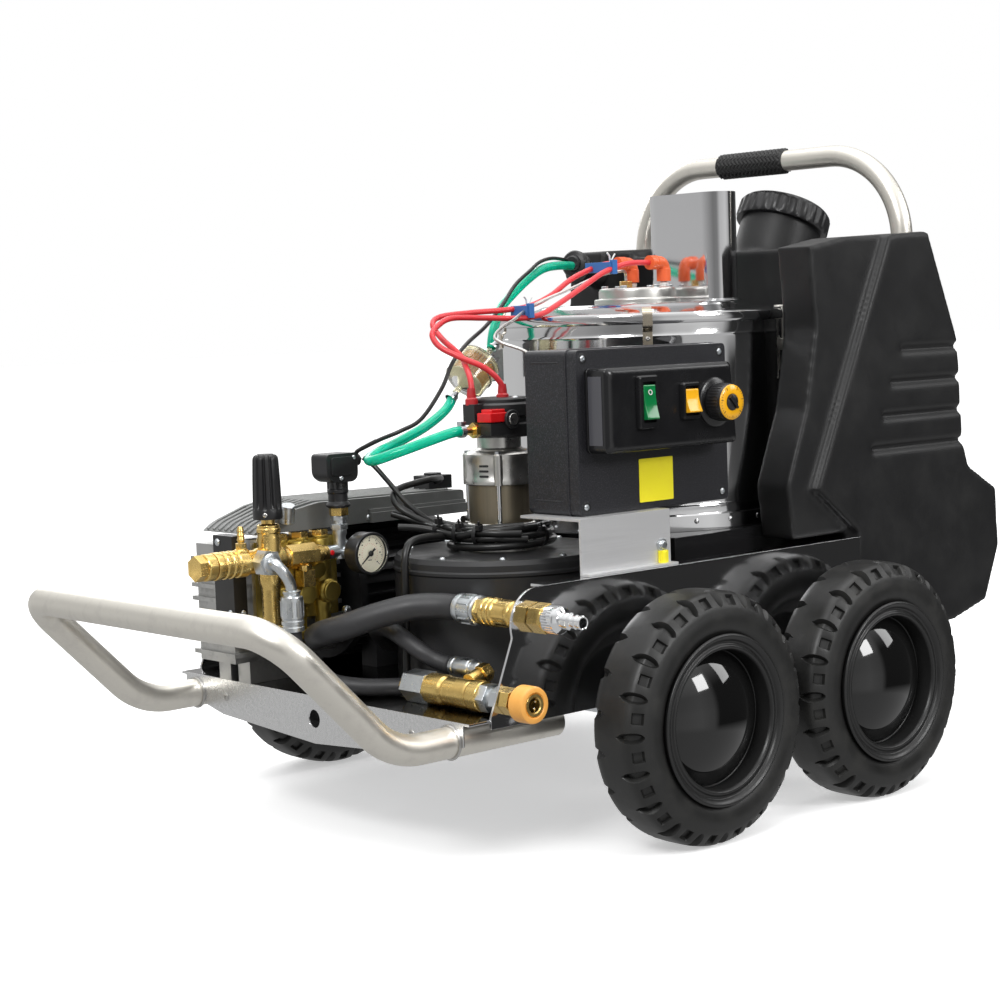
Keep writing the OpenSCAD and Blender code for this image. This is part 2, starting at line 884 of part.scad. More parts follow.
module unloader_valve() {
    color("goldenrod") {
        hex_x([-487, row_y, row_z], 25, 27);
        rod_x([-463, row_y, row_z], 70, 16);
        rod_z([unloader_x, row_y, 245], 104, 11);
        rod_z([unloader_x, row_y, 298], 68, 14);
        rod_x([-394, row_y, row_z], 36, 14);
        hex_x([-360, row_y, row_z], 40, 25);
        rod_x([-321, row_y, row_z], 18, 11);
        hex_z([-423, row_y, 338], 10, 12);
        rod_z([-423, row_y, 346], 20, 4);
        rod_z([unloader_x, row_y, 365], 34, 8 - run_gap);
        hex_z([-334, row_y, 292], 22, 15);
    }
    color("silver") {
        hex_y([-404, 14, row_z], 18, 26);
        hose(elbow, 13, 3, 12);
        rod_z([-385, 4, 245], 44, 13);
    }
}

knob_low = 371.3;

module unloader_knob() {
    color("#202020") translate([unloader_x, row_y, knob_low]) difference() {
        union() {
            cylinder(h = 74, r = 15, $fn = fine);
            cylinder(h = 12, r = 17, $fn = fine);
            for (i = [0 : 15]) rotate([0, 0, i * 22.5]) translate([15, 0, 0])
                cylinder(h = 70, r = 2, $fn = 16);
        }
        translate([0, 0, -1]) cylinder(h = 30, r = 8, $fn = round_n);
    }
}

module pressure_switch() {
    color("silver") {
        rod_x([-302.7, row_y, row_z], 54, 8);
        rod_z([tee_x, row_y, row_z], 44, 8);
        hex_z([tee_x, row_y, 350], 10, 18);
    }
    color("goldenrod") hex_z([tee_x, row_y, 367], 9, 20);
    color("#1c1c1c") {
        rod_z([tee_x, row_y, 375.5], 20, 13);
        rod_z([tee_x, row_y, 395], 12, 9);
        translate([tee_x - 26, row_y - 15, 406]) cube([46, 30, 34]);
        rod_x([tee_x + 18, row_y, 430], 14, 7);
    }
}

gauge_face = -14;

module pressure_gauge() {
    color("#1c1c1c") difference() {
        union() {
            rod_y([gauge_x, gauge_face, row_z], 24, 25, fine);
            rod_y([gauge_x, gauge_face + 23, row_z], 27, 6);
        }
        rod_y([gauge_x, gauge_face - 1, row_z], 6, 22.5, fine);
    }
    color("ivory") rod_y([gauge_x, gauge_face + 4.5, row_z], 1, 22.4, fine);
    color("silver") rod_y([gauge_x, gauge_face + 1.5, row_z], 3.5, 1.5, 24);
}

module gauge_needle() {
    color("black") difference() {
        union() {
            rod_y([gauge_x, gauge_face + 2.2, row_z], 1, 3.5);
            translate([gauge_x, gauge_face + 2.2, row_z]) rotate([0, -50, 0])
                translate([-17, 0, -0.8]) cube([24, 0.8, 1.6]);
        }
        rod_y([gauge_x, gauge_face + 1, row_z], 4, 1.55, 24);
    }
}

// ---------------------------------------------------------------- controls

module control_box() {
    d = box_y - lid_t + box_back;
    color("#262626") difference() {
        plate_y(lid_t - box_y + gap, d - gap) translate([box_x, box_z])
            round_rect(box_l, box_h, 7);
        plate_y(lid_t - box_y - 1, d - 4) translate([box_x + 4, box_z + 4])
            square([box_l - 8, box_h - 8]);
    }
}

lid_screws = [
    for (x = [box_x + 11, box_x + box_l - 11], z = [box_z + 10, box_z + box_h - 10])
        [x, z]
];

module box_lid() {
    color("#262626") difference() {
        plate_y(-box_y, lid_t) translate([box_x, box_z]) round_rect(box_l, box_h, 7);
        plate_y(4 - box_y, lid_t) translate([box_x + 20, box_z + 20])
            square([box_l - 40, box_h - 40]);
    }
    color("silver") for (s = lid_screws) rod_y([s[0], -box_y - 1.5, s[1]], 2, 5, 24);
    color("gold") translate([-66, -box_y - 0.6, 375]) cube([56, 0.7, 50]);
}

console = [[-144, 442], [62, 442], [54, 527], [-144, 527]];
green_x = -89;
green_z = 492;
yellow_x = -19;
yellow_z = 490;
dial_x = 26;
dial_z = 486;

module console_solid(y, grow) {
    plate_y(y, -box_y - gap - y) polygon([
        for (p = console)
            [p[0] + grow * sign(-40 - p[0]), p[1] + grow * sign(485 - p[1])]
    ]);
}

module rocker_hole(x, z, w, h, depth) {
    translate([x - w / 2, console_y - 12, z - h / 2]) cube([w, 12 + depth, h]);
}

module switch_console() {
    color("#202020") difference() {
        union() {
            console_solid(-box_y - 12, 0);
            console_solid(console_y, 5);
            translate([green_x - 15, console_y - 7, green_z - 29]) cube([30, 8, 58]);
            translate([yellow_x - 14, console_y - 7, yellow_z - 20]) cube([28, 8, 40]);
            rod_y([dial_x, console_y - 3, dial_z], 5, 28, fine);
        }
        rocker_hole(green_x, green_z, 20, 46, 14);
        rocker_hole(yellow_x, yellow_z, 22, 34, 14);
        rod_y([dial_x, console_y - 6, dial_z], 20, 5 + run_gap);
    }
    for (s = [[green_x, green_z, 20], [yellow_x, yellow_z, 22]])
        color("silver")
            rod_x([s[0] - s[2] / 2 - 2, console_y + 4, s[1]], s[2] + 4, 2);
}

// A rocker that tips about the pin through its middle.
module rocker(x, z, w, h) {
    difference() {
        union() {
            rod_x([x - w / 2, console_y + 4, z], w, 7);
            plate_x(x - w / 2, w) polygon([
                [console_y + 2, z - h / 2], [console_y - 13, z - h / 2],
                [console_y - 9, z], [console_y - 7, z + h / 2],
                [console_y + 2, z + h / 2]
            ]);
        }
        rod_x([x - w / 2 - 1, console_y + 4, z], w + 2, 2 + run_gap);
    }
}

// A block across X, drawn as [y, z], from x to x + t.
module plate_x(x, t) {
    translate([x, 0, 0]) rotate([90, 0, 90]) linear_extrude(t) children();
}

module green_rocker() {
    color("green") rocker(green_x, green_z, 19, 40);
}

module yellow_rocker() {
    color("orange") rocker(yellow_x, yellow_z, 21, 28);
}

module thermostat_knob() {
    color("#202020") {
        rod_y([dial_x, console_y - 30, dial_z], 26.6, 21, fine);
        rod_y([dial_x, console_y - 5, dial_z], 15, 5);
    }
    color("gold") rod_y([dial_x, console_y - 31, dial_z], 1, 20.5, fine);
}

bracket_l = 143;

module box_bracket() {
    x = -179;
    color("silver") {
        translate([x, -258, box_z - 3 - gap]) cube([bracket_l, 98, 3]);
        translate([x, -258, plate_top + gap]) cube([bracket_l, 3, box_z - plate_top - 3]);
        translate([x, -270, plate_top + gap]) cube([bracket_l, 14, 2.5]);
        rod_y([-38 - 13, -260, 318], 3, 5, 24);
    }
    color("gold") {
        translate([-57, -263, 292 + 12]) cube([12, 4.7, 16]);
    }
    color("#1c1c1c") translate([-30, -222, plate_top + gap]) cube([5, 14, 58]);
}

// ---------------------------------------------------------------- water fittings

module inlet_coupler() {
    color("silver") rod_y([inlet_x, -186, inlet_z], 34, 17);
    color("goldenrod") {
        hex_y([inlet_x, -196, inlet_z], 12, 26);
        rod_y([inlet_x, -214, inlet_z], 20, 16);
        hex_y([inlet_x, -250, inlet_z], 38, 28);
        hex_y([inlet_x, -271, inlet_z], 22, 25);
        rod_y([inlet_x, -312, inlet_z], 50, 9.7);
        hex_y([inlet_x, -294, inlet_z], 19, 30);
    }
    color("silver") difference() {
        union() {
            rod_y([inlet_x, -314, inlet_z], 20, 15);
            rod_y([inlet_x, nipple_end, inlet_z], 34, 8);
            rod_y([inlet_x, -330, inlet_z], 8, 10);
        }
        rod_y([inlet_x, nipple_end - 1, inlet_z], 22, 5.5);
    }
}

nipple_end = -348;

branch_z = outlet_z + 20;

module outlet_valve() {
    color("goldenrod") {
        hex_y([outlet_x, -116, outlet_z], 9, 22);
        rod_y([outlet_x, -241, outlet_z], 90, 17.5);
        rod_y([outlet_x, -300, outlet_z], 60, 8.7);
        hex_y([outlet_x, -289, outlet_z], 14, 26);
        rod_x([outlet_x, -206, branch_z - 8], 34, 9);
    }
    color("silver") {
        hex_y([outlet_x, -152, outlet_z], 37, 33);
        hex_y([outlet_x, -271, outlet_z], 31, 28);
        rod_y([outlet_x + 34, -214, branch_z], 30, 8);
        rod_y([outlet_x + 34, -186, branch_z], 36, 9.5);
    }
    color("orange") difference() {
        rod_y([outlet_x, -319, outlet_z], 22, 20);
        rod_y([outlet_x, -320, outlet_z], 18, 8);
    }
}

inlet_route = [
    [-266, -151.7, 270], [-266, -147.5, 270], [-266, -143.5, 270],
    [-275, -124, 271], [-295, -100, 270],
    [-322, -74, 262], [-344, -44, 250], [-351, -10, 240], [-340, 20, 232],
    [-320, 42, 229], [-306, 50, 229]
];
pump_route = [
    [-385, 4, 244.7], [-385, 4, 240], [-385, 4, 235], [-384, 0, 218], [-376, -12, 200],
    [-358, -32, 186], [-334, -56, 180], [-308, -79, 179], [-286, -104, 179],
    [-279, -130, 179], [-276, -165, 179], [-264, -198, 179], [-236, -224, 180],
    [-190, -236, 181], [-130, -238, 182], [-80, -232, 184], [-30, -210, 188],
    [4, -190, 191], [20, -184.5, 192], [36.5, -184, 192]
];
outlet_route = [
    [-278, -149.7, 206], [-278, -145.5, 206], [-278, -141.5, 206],
    [-284, -127, 211], [-294, -112, 221],
    [-298, -94, 231], [-294, -68, 238], [-285, -38, 240], [-272, -8, 236],
    [-250, 22, 226], [-220, 48, 210], [-190, 66, 198], [-136, 74, 190],
    [-60, 62, 190], [-10, 34, 194], [16, 28, 196], [36.5, 28, 196]
];

module inlet_hose() {
    color("#202020") hose(inlet_route, 30, 2, 12);
}

module pressure_hoses() {
    color("#1c1c1c") {
        hose(pump_route, 20, 2, 10);
        hose(outlet_route, 20, 2, 10);
    }
}

// ---------------------------------------------------------------- wheels

module at_wheel(x, side) {
    translate([x, 0, axle_z]) rotate([90 * side, 0, 0]) children();
}

// Wheel parts are drawn about Z, with the outer face up at tyre_face.
module tyre_shape() {
    low = tyre_face - tyre_w;
    lugs = 20;
    color("#262626") difference() {
        rotate_extrude($fn = fine) polygon([
            [rim_seat_r + gap, low + 8], [110, low], [128, low + 3],
            [140, low + 12], [wheel_r, low + 22], [wheel_r, tyre_face - 22],
            [140, tyre_face - 12], [128, tyre_face - 3], [110, tyre_face],
            [rim_seat_r + gap, tyre_face - 8]
        ]);
        for (i = [0 : lugs - 1]) rotate([0, 0, i * 360 / lugs + 9])
            translate([wheel_r - 12, -3, tyre_face - 24]) cube([20, 6, 30]);
        for (i = [0 : lugs - 1]) rotate([0, 0, i * 360 / lugs])
            translate([wheel_r - 12, -3, low - 6]) cube([20, 6, 30]);
    }
}

module rim_shape() {
    low = tyre_face - tyre_w;
    color("#303030") rotate_extrude($fn = fine) polygon([
        [axle_d / 2 + run_gap, low - 4], [24, low - 4], [24, low + 20],
        [70, low + 28], [rim_seat_r, low + 10], [rim_seat_r, tyre_face - 10],
        [86, tyre_face - 7], [79, tyre_face - 10], [79, tyre_face - 26],
        [76, tyre_face - 27], [76, low + 36], [22, low + 34], [22, low + 44],
        [axle_d / 2 + run_gap, low + 44]
    ]);
}

cap_rise = 22;

module hub_cap_shape() {
    edge = tyre_face - 23.2;
    ball_r = (78 * 78 + cap_rise * cap_rise) / (2 * cap_rise);
    half = asin(78 / ball_r);
    color("#101010") translate([0, 0, edge - ball_r + cap_rise])
        rotate_extrude($fn = fine) polygon(concat(
            [for (k = [0 : 8]) ball_r * [sin(half * k / 8), cos(half * k / 8)]],
            [for (k = [8 : -1 : 0])
                (ball_r - 2.5) * [sin(half * k / 8), cos(half * k / 8)]]
        ));
}

module tyre_front_near() { at_wheel(front_axle_x, 1) tyre_shape(); }
module tyre_front_far() { at_wheel(front_axle_x, -1) tyre_shape(); }
module tyre_rear_near() { at_wheel(rear_axle_x, 1) tyre_shape(); }
module tyre_rear_far() { at_wheel(rear_axle_x, -1) tyre_shape(); }
module rim_front_near() { at_wheel(front_axle_x, 1) rim_shape(); }
module rim_front_far() { at_wheel(front_axle_x, -1) rim_shape(); }
module rim_rear_near() { at_wheel(rear_axle_x, 1) rim_shape(); }
module rim_rear_far() { at_wheel(rear_axle_x, -1) rim_shape(); }
module hub_cap_front_near() { at_wheel(front_axle_x, 1) hub_cap_shape(); }
module hub_cap_front_far() { at_wheel(front_axle_x, -1) hub_cap_shape(); }
module hub_cap_rear_near() { at_wheel(rear_axle_x, 1) hub_cap_shape(); }
module hub_cap_rear_far() { at_wheel(rear_axle_x, -1) hub_cap_shape(); }

// ---------------------------------------------------------------- the model

deck();
side_plates();
axles();
bumper_bar();
handle_tube();
handle_grip();
water_tank();
fuel_tank();
boiler_base();
boiler_shell();
heating_coil();
boiler_lid();
chimney();
lid_clips();
burner_head();
ignition_boots();
ignition_leads();
fan_housing();
burner_motor();
fuel_pump();
fuel_filter();
fuel_hoses();
cable_loom();
motor_body();
motor_cover();
pump_crankcase();
pump_head();
unloader_valve();
pressure_switch();
pressure_gauge();
control_box();
box_lid();
switch_console();
box_bracket();
inlet_coupler();
outlet_valve();
inlet_hose();
pressure_hoses();
fan_wheel();
motor_rotor();
unloader_knob();
gauge_needle();
green_rocker();
yellow_rocker();
thermostat_knob();
water_cap();
latch_lever();
latch_bail();
tyre_front_near();
tyre_front_far();
tyre_rear_near();
tyre_rear_far();
rim_front_near();
rim_front_far();
rim_rear_near();
rim_rear_far();
hub_cap_front_near();
hub_cap_front_far();
hub_cap_rear_near();
hub_cap_rear_far();
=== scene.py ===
"""Looks of a hot-water pressure washer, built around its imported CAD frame.

+X points to the water tank at the back, -Y to the side with the controls, +Z up.
Places and sizes below are in millimetres in that frame; MM turns them into metres.
"""

import math
import random

import bmesh
import bpy
from mathutils import Matrix, Vector


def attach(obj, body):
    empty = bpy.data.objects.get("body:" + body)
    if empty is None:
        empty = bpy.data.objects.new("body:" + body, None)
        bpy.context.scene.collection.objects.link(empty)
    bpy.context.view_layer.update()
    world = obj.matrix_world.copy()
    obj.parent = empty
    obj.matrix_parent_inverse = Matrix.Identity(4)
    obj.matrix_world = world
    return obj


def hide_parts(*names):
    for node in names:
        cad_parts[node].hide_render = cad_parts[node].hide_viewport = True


MM = 0.001
ROOT = "machine"
UP = (0, 0, 1)
ON_AXIS = 1e-6
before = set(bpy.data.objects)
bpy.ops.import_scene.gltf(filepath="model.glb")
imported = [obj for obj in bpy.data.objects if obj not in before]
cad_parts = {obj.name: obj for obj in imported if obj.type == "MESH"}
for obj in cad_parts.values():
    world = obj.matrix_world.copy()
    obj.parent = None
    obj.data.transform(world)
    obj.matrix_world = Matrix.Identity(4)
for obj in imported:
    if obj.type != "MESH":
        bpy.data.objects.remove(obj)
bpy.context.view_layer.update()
random.seed(7)

# ---------------------------------------------------------------- materials


def new_material(name, color, rough, metal):
    """A plain Principled material, with its node tree and shader node."""
    mat = bpy.data.materials.new(name)
    mat.use_nodes = True
    shader = mat.node_tree.nodes["Principled BSDF"]
    shader.inputs["Base Color"].default_value = (*color, 1)
    shader.inputs["Roughness"].default_value = rough
    shader.inputs["Metallic"].default_value = metal
    mat.diffuse_color = (*color, 1)
    return mat, mat.node_tree, shader


def noise_field(tree, scale, stretch=(1, 1, 1)):
    """A noise value over the object's own frame; scale is in features per metre."""
    place = tree.nodes.new("ShaderNodeTexCoord")
    turn = tree.nodes.new("ShaderNodeMapping")
    turn.inputs["Scale"].default_value = stretch
    noise = tree.nodes.new("ShaderNodeTexNoise")
    noise.inputs["Scale"].default_value = scale
    noise.inputs["Detail"].default_value = 4.0
    noise.inputs["Roughness"].default_value = 0.6
    tree.links.new(place.outputs["Object"], turn.inputs["Vector"])
    tree.links.new(turn.outputs["Vector"], noise.inputs["Vector"])
    return noise.outputs["Fac"]


def remapped(tree, value, low, high, to_low, to_high):
    """A value's range low to high stretched to another range, cut off at its ends."""
    node = tree.nodes.new("ShaderNodeMapRange")
    node.inputs["From Min"].default_value = low
    node.inputs["From Max"].default_value = high
    node.inputs["To Min"].default_value = to_low
    node.inputs["To Max"].default_value = to_high
    tree.links.new(value, node.inputs["Value"])
    return node.outputs["Result"]


def finish(name, color, rough, metal, scale, stretch=(1, 1, 1), second=None,
           share=(0.5, 0.7), grain=None, wave=None, **sockets):
    """A Principled finish under blotches, whose scale is in features per metre.

    rough is the range that the blotches sweep. second is a colour that shows where
    they are strong, faded in over the span share. grain and wave are fine and broad
    bumps: features per metre, height in metres and, as a third value, their stretch.
    """
    mat, tree, shader = new_material(name, color, rough[0], metal)
    patches = noise_field(tree, scale, stretch)
    swept = remapped(tree, patches, 0.3, 0.7, *rough)
    tree.links.new(swept, shader.inputs["Roughness"])
    if second:
        # Its sockets 0, 6 and 7 are the share and both colours; 2 is the result.
        mix = tree.nodes.new("ShaderNodeMix")
        mix.data_type = "RGBA"
        mix.inputs[6].default_value = (*color, 1)
        mix.inputs[7].default_value = (*second, 1)
        tree.links.new(remapped(tree, patches, *share, 0, 1), mix.inputs[0])
        tree.links.new(mix.outputs[2], shader.inputs["Base Color"])
    normal = None
    for bumps in (wave, grain):
        if not bumps:
            continue
        bump = tree.nodes.new("ShaderNodeBump")
        bump.inputs["Strength"].default_value = 1.0
        bump.inputs["Distance"].default_value = bumps[1]
        tree.links.new(noise_field(tree, bumps[0], *bumps[2:]), bump.inputs["Height"])
        if normal:
            tree.links.new(normal, bump.inputs["Normal"])
        normal = bump.outputs["Normal"]
    if normal:
        tree.links.new(normal, shader.inputs["Normal"])
    for socket, value in sockets.items():
        shader.inputs[socket.replace("_", " ")].default_value = value
    return mat


STREAK_X = (0.03, 1, 1)
STREAK_Y = (1, 0.03, 1)
STREAK_Z = (1, 1, 0.03)

POLISHED = finish(
    "polished_sheet", (0.72, 0.72, 0.73), (0.05, 0.12), 1.0, 30, STREAK_X,
    wave=(5, 0.0006), grain=(900, 0.0000015, STREAK_X),
)
# The deck's top: the polished sheet made dark, a painted reflection on its mirror face.
DECK_TOP_REFLECTION = finish(
    "deck_top_painted_reflection", (0.20, 0.195, 0.19), (0.06, 0.16), 1.0, 25,
    second=(0.12, 0.115, 0.11),
)
BOILER = finish(
    "boiler_steel", (0.76, 0.76, 0.765), (0.06, 0.13), 1.0, 40, STREAK_Z,
    wave=(7, 0.0006, (1, 1, 0.25)), grain=(700, 0.0000015, STREAK_Z),
)
BRUSHED = finish(
    "brushed_sheet", (0.74, 0.74, 0.74), (0.22, 0.36), 1.0, 300, STREAK_X,
    second=(0.68, 0.68, 0.68), grain=(900, 0.000004, STREAK_X),
)
LATCH = finish(
    "latch_steel", (0.78, 0.76, 0.71), (0.34, 0.46), 0.45, 80,
    second=(0.66, 0.64, 0.60),
)
BRACKET = finish(
    "bracket_sheet", (0.66, 0.66, 0.665), (0.38, 0.48), 0.55, 200, STREAK_X,
    second=(0.60, 0.60, 0.605), grain=(900, 0.000004, STREAK_X),
)
SATIN_TUBE = finish(
    "satin_tube", (0.80, 0.77, 0.70), (0.30, 0.42), 0.85, 60,
    second=(0.74, 0.71, 0.65), grain=(1200, 0.000006, STREAK_Y),
)
CHROME = finish("chrome", (0.86, 0.87, 0.88), (0.04, 0.10), 1.0, 60)
ZINC = finish(
    "zinc_plate", (0.66, 0.69, 0.71), (0.24, 0.38), 1.0, 80,
    second=(0.56, 0.58, 0.60), grain=(900, 0.00001),
)
STEEL = finish(
    "turned_steel", (0.55, 0.54, 0.52), (0.25, 0.42), 1.0, 70,
    second=(0.42, 0.41, 0.39), grain=(900, 0.00001),
)
BRASS = finish(
    "machined_brass", (0.80, 0.57, 0.20), (0.20, 0.34), 1.0, 70,
    second=(0.72, 0.50, 0.17), grain=(900, 0.00001),
)
OLD_BRASS = finish(
    "forged_brass", (0.55, 0.41, 0.10), (0.34, 0.50), 1.0, 60,
    second=(0.43, 0.33, 0.09), grain=(600, 0.00004),
)
CAST = finish(
    "cast_aluminium", (0.52, 0.52, 0.51), (0.36, 0.52), 1.0, 50,
    second=(0.40, 0.40, 0.39), grain=(500, 0.00006),
)
MOTOR_SILVER = finish(
    "motor_silver", (0.66, 0.65, 0.62), (0.26, 0.38), 1.0, 60,
    second=(0.58, 0.57, 0.54), grain=(700, 0.00003),
)
LAMINATE = finish(
    "laminated_core", (0.30, 0.26, 0.19), (0.34, 0.46), 0.9, 60, STREAK_Z,
    second=(0.21, 0.18, 0.13), share=(0.4, 0.7),
    grain=(1400, 0.00008, (0.05, 0.05, 1)),
)
COVER_GREY = finish(
    "cover_grey", (0.235, 0.24, 0.235), (0.34, 0.50), 0.5, 40,
    second=(0.27, 0.275, 0.27), grain=(700, 0.00006),
)
MOTOR_BLACK = finish(
    "motor_black", (0.018, 0.018, 0.019), (0.32, 0.48), 0.0, 40,
    grain=(600, 0.00004),
)
TANK = finish(
    "tank_black", (0.0075, 0.0075, 0.008), (0.40, 0.52), 0.0, 14,
    second=(0.0115, 0.0115, 0.0115), grain=(650, 0.00009),
    Specular_IOR_Level=0.42,
)
BOX = finish(
    "box_black", (0.013, 0.013, 0.0155), (0.30, 0.44), 0.0, 700,
    second=(0.062, 0.062, 0.072), share=(0.50, 0.74),
    grain=(900, 0.00022),
)
# A lighter grey for a strip on the console's left side: painted sheen on the black console.
SIDE_SHEEN = finish("console_side_sheen", (0.075, 0.075, 0.085), (0.16, 0.26), 0.0, 30)
CONSOLE = finish(
    "console_black", (0.010, 0.010, 0.011), (0.18, 0.28), 0.0, 30,
    grain=(900, 0.00003),
)
PLASTIC = finish(
    "plain_black", (0.012, 0.012, 0.013), (0.30, 0.42), 0.0, 40,
    grain=(700, 0.00003),
)
GLOSS = finish(
    "gloss_black", (0.006, 0.006, 0.006), (0.045, 0.075), 0.0, 9,
    Coat_Weight=0.4,
)
RIM = finish(
    "rim_black", (0.013, 0.013, 0.013), (0.30, 0.42), 0.0, 30,
    grain=(700, 0.00002),
)
TYRE = finish(
    "tyre_rubber", (0.012, 0.012, 0.0115), (0.36, 0.52), 0.0, 26,
    second=(0.019, 0.0185, 0.017), grain=(700, 0.00006),
)
GRIP = finish(
    "grip_rubber", (0.012, 0.012, 0.012), (0.5, 0.65), 0.0, 60,
    grain=(900, 0.00004),
)
HOSE = finish(
    "hose_rubber", (0.028, 0.028, 0.030), (0.42, 0.56), 0.0, 40,
    second=(0.036, 0.036, 0.038), grain=(900, 0.00007),
)
CABLE = finish(
    "cable_sheath", (0.009, 0.009, 0.009), (0.28, 0.40), 0.0, 60,
    grain=(500, 0.00004),
)
LEAD = finish(
    "red_silicone", (0.68, 0.035, 0.045), (0.28, 0.40), 0.0, 60,
    second=(0.60, 0.03, 0.04), Subsurface_Weight=0.1,
)
LEAD_BOOT = finish(
    "red_boot", (0.50, 0.02, 0.025), (0.32, 0.42), 0.0, 60,
    second=(0.42, 0.015, 0.02),
)
BOOT = finish(
    "orange_boot", (0.80, 0.13, 0.035), (0.34, 0.46), 0.0, 60,
    second=(0.72, 0.11, 0.03), grain=(500, 0.00003),
)
RED = finish(
    "red_block", (0.70, 0.012, 0.015), (0.16, 0.26), 0.0, 50,
    second=(0.62, 0.01, 0.012),
)
FUEL_HOSE = finish(
    "green_hose", (0.0, 0.60, 0.37), (0.10, 0.18), 0.0, 60,
    second=(0.01, 0.70, 0.46), Transmission_Weight=0.3, IOR=1.42,
    Subsurface_Weight=0.25,
)
GREEN = finish(
    "green_switch", (0.004, 0.17, 0.045), (0.07, 0.12), 0.0, 60,
    second=(0.008, 0.26, 0.075), Coat_Weight=0.5,
)
YELLOW = finish(
    "yellow_switch", (0.93, 0.46, 0.015), (0.12, 0.20), 0.0, 60,
    second=(0.86, 0.40, 0.012), Coat_Weight=0.3,
)
CLIP_BLUE = finish("clip_blue", (0.04, 0.15, 0.42), (0.28, 0.38), 0.0, 60)
SAFETY_YELLOW = finish(
    "yellow_print", (1.0, 0.88, 0.03), (0.30, 0.38), 0.0, 60,
    second=(0.98, 0.84, 0.03),
)
ORANGE_RING = finish(
    "coupler_ring", (0.90, 0.43, 0.09), (0.34, 0.46), 0.0, 60,
    second=(0.84, 0.38, 0.07), grain=(400, 0.00003),
)
CREAM = finish(
    "dial_cream", (0.80, 0.76, 0.60), (0.35, 0.45), 0.0, 60,
    second=(0.76, 0.72, 0.56),
)
# Black ink for print and the needle; also the black discs in bores, which are painted shade of
# their hollows.
INK_AND_SHADE = finish("dial_ink_and_bore_shade", (0.01, 0.01, 0.01), (0.4, 0.5), 0.0, 60)
RED_INK = finish("dial_red", (0.6, 0.05, 0.04), (0.4, 0.5), 0.0, 60)
WHITE = finish(
    "white_plastic", (0.78, 0.78, 0.76), (0.3, 0.4), 0.0, 60,
    second=(0.72, 0.72, 0.70),
)
STRAP = finish(
    "strap_steel", (0.60, 0.53, 0.42), (0.22, 0.34), 1.0, 90,
    second=(0.52, 0.45, 0.34), grain=(700, 0.00001),
)
CLEAR = finish(
    "filter_shell", (0.97, 0.93, 0.74), (0.04, 0.09), 0.0, 40,
    Transmission_Weight=0.92, IOR=1.45,
)
LENS = finish(
    "gauge_glass", (1.0, 1.0, 1.0), (0.02, 0.04), 0.0, 40,
    Transmission_Weight=1.0, IOR=1.1,
)
PLEATS = finish(
    "filter_pleats", (0.70, 0.36, 0.03), (0.5, 0.65), 0.0, 200,
    second=(0.82, 0.50, 0.08), Subsurface_Weight=0.1,
)
# Near-black sheet for the boiler's base: a painted dark reflection.
BASE_DARK_REFLECTION = finish(
    "boiler_base_painted_reflection", (0.02, 0.02, 0.021), (0.10, 0.18), 0.2, 30,
    grain=(700, 0.00001),
)

# ---------------------------------------------------------------- shapes

ALONG = {
    "x": Matrix.Rotation(math.radians(90), 4, "Y"),
    "y": Matrix.Rotation(math.radians(-90), 4, "X"),
    "-y": Matrix.Rotation(math.radians(90), 4, "X"),
    "z": Matrix.Identity(4),
}


def aimed(origin, axis):
    """The placement at origin whose +Z runs along axis: a name or a direction."""
    if isinstance(axis, str):
        turn = ALONG[axis]
    else:
        turn = Vector(axis).to_track_quat("Z", "Y").to_matrix().to_4x4()
    return Matrix.Translation(Vector(origin)) @ turn


def spokes(count, start=0.0):
    """Even directions round a circle as (cosine, sine), the first at start degrees."""
    angles = [math.radians(start + 360 * k / count) for k in range(count)]
    return [(math.cos(a), math.sin(a)) for a in angles]


def outward(angle):
    """The level direction away from a vertical axis, at an angle in degrees."""
    return (math.cos(math.radians(angle)), math.sin(math.radians(angle)), 0)


def softened(points, radius, steps=4, closed=True):
    """A polyline with each corner swapped for a short curve."""
    n = len(points)
    made = []
    for i, p in enumerate(points):
        here = Vector(p)
        if not closed and i in (0, n - 1):
            made.append(tuple(here))
            continue
        before, after = Vector(points[i - 1]), Vector(points[(i + 1) % n])
        back = min(radius, (before - here).length * 0.45)
        ahead = min(radius, (after - here).length * 0.45)
        a = here + (before - here).normalized() * back
        b = here + (after - here).normalized() * ahead
        for k in range(steps + 1):
            t = k / steps
            made.append(tuple(a * (1 - t) ** 2 + here * 2 * t * (1 - t) + b * t * t))
    return made


def round_box(width, height, radius, steps=4):
    """A rectangle about the origin with round corners."""
    w, h = width / 2, height / 2
    return softened([(-w, -h), (w, -h), (w, h), (-w, h)], radius, steps)


def round_box_at(x, z, width, height, radius):
    """A rectangle with round corners about a point of the X-Z plane."""
    return [(x + px, z + pz) for px, pz in round_box(width, height, radius)]


def catmull(route, steps):
    """A route's points joined by a smooth curve, as in the CAD source."""
    pts = [Vector(p) for p in route]
    last = len(pts) - 1
    made = []
    for i in range(last):
        p = [pts[max(i - 1, 0)], pts[i], pts[i + 1], pts[min(i + 2, last)]]
        for k in range(steps):
            t = k / steps
            made.append(
                0.5
                * (
                    2 * p[1]
                    + (p[2] - p[0]) * t
                    + (2 * p[0] - 5 * p[1] + 4 * p[2] - p[3]) * t * t
                    + (3 * p[1] - p[0] - 3 * p[2] + p[3]) * t ** 3
                )
            )
    return made + [pts[last]]


def filleted(points, radii, steps=12):
    """A path in space with round bends: one radius for each inner point."""
    pts = [Vector(p) for p in points]
    made = [pts[0]]
    for i in range(1, len(pts) - 1):
        a = (pts[i - 1] - pts[i]).normalized()
        b = (pts[i + 1] - pts[i]).normalized()
        half = a.angle(b) / 2
        cut = radii[i - 1] / math.tan(half)
        middle = pts[i] + (a + b).normalized() * (radii[i - 1] / math.sin(half))
        first = pts[i] + a * cut - middle
        second = pts[i] + b * cut - middle
        total = first.angle(second)
        for k in range(steps + 1):
            t = k / steps
            made.append(
                middle
                + first * (math.sin((1 - t) * total) / math.sin(total))
                + second * (math.sin(t * total) / math.sin(total))
            )
    return made + [pts[-1]]


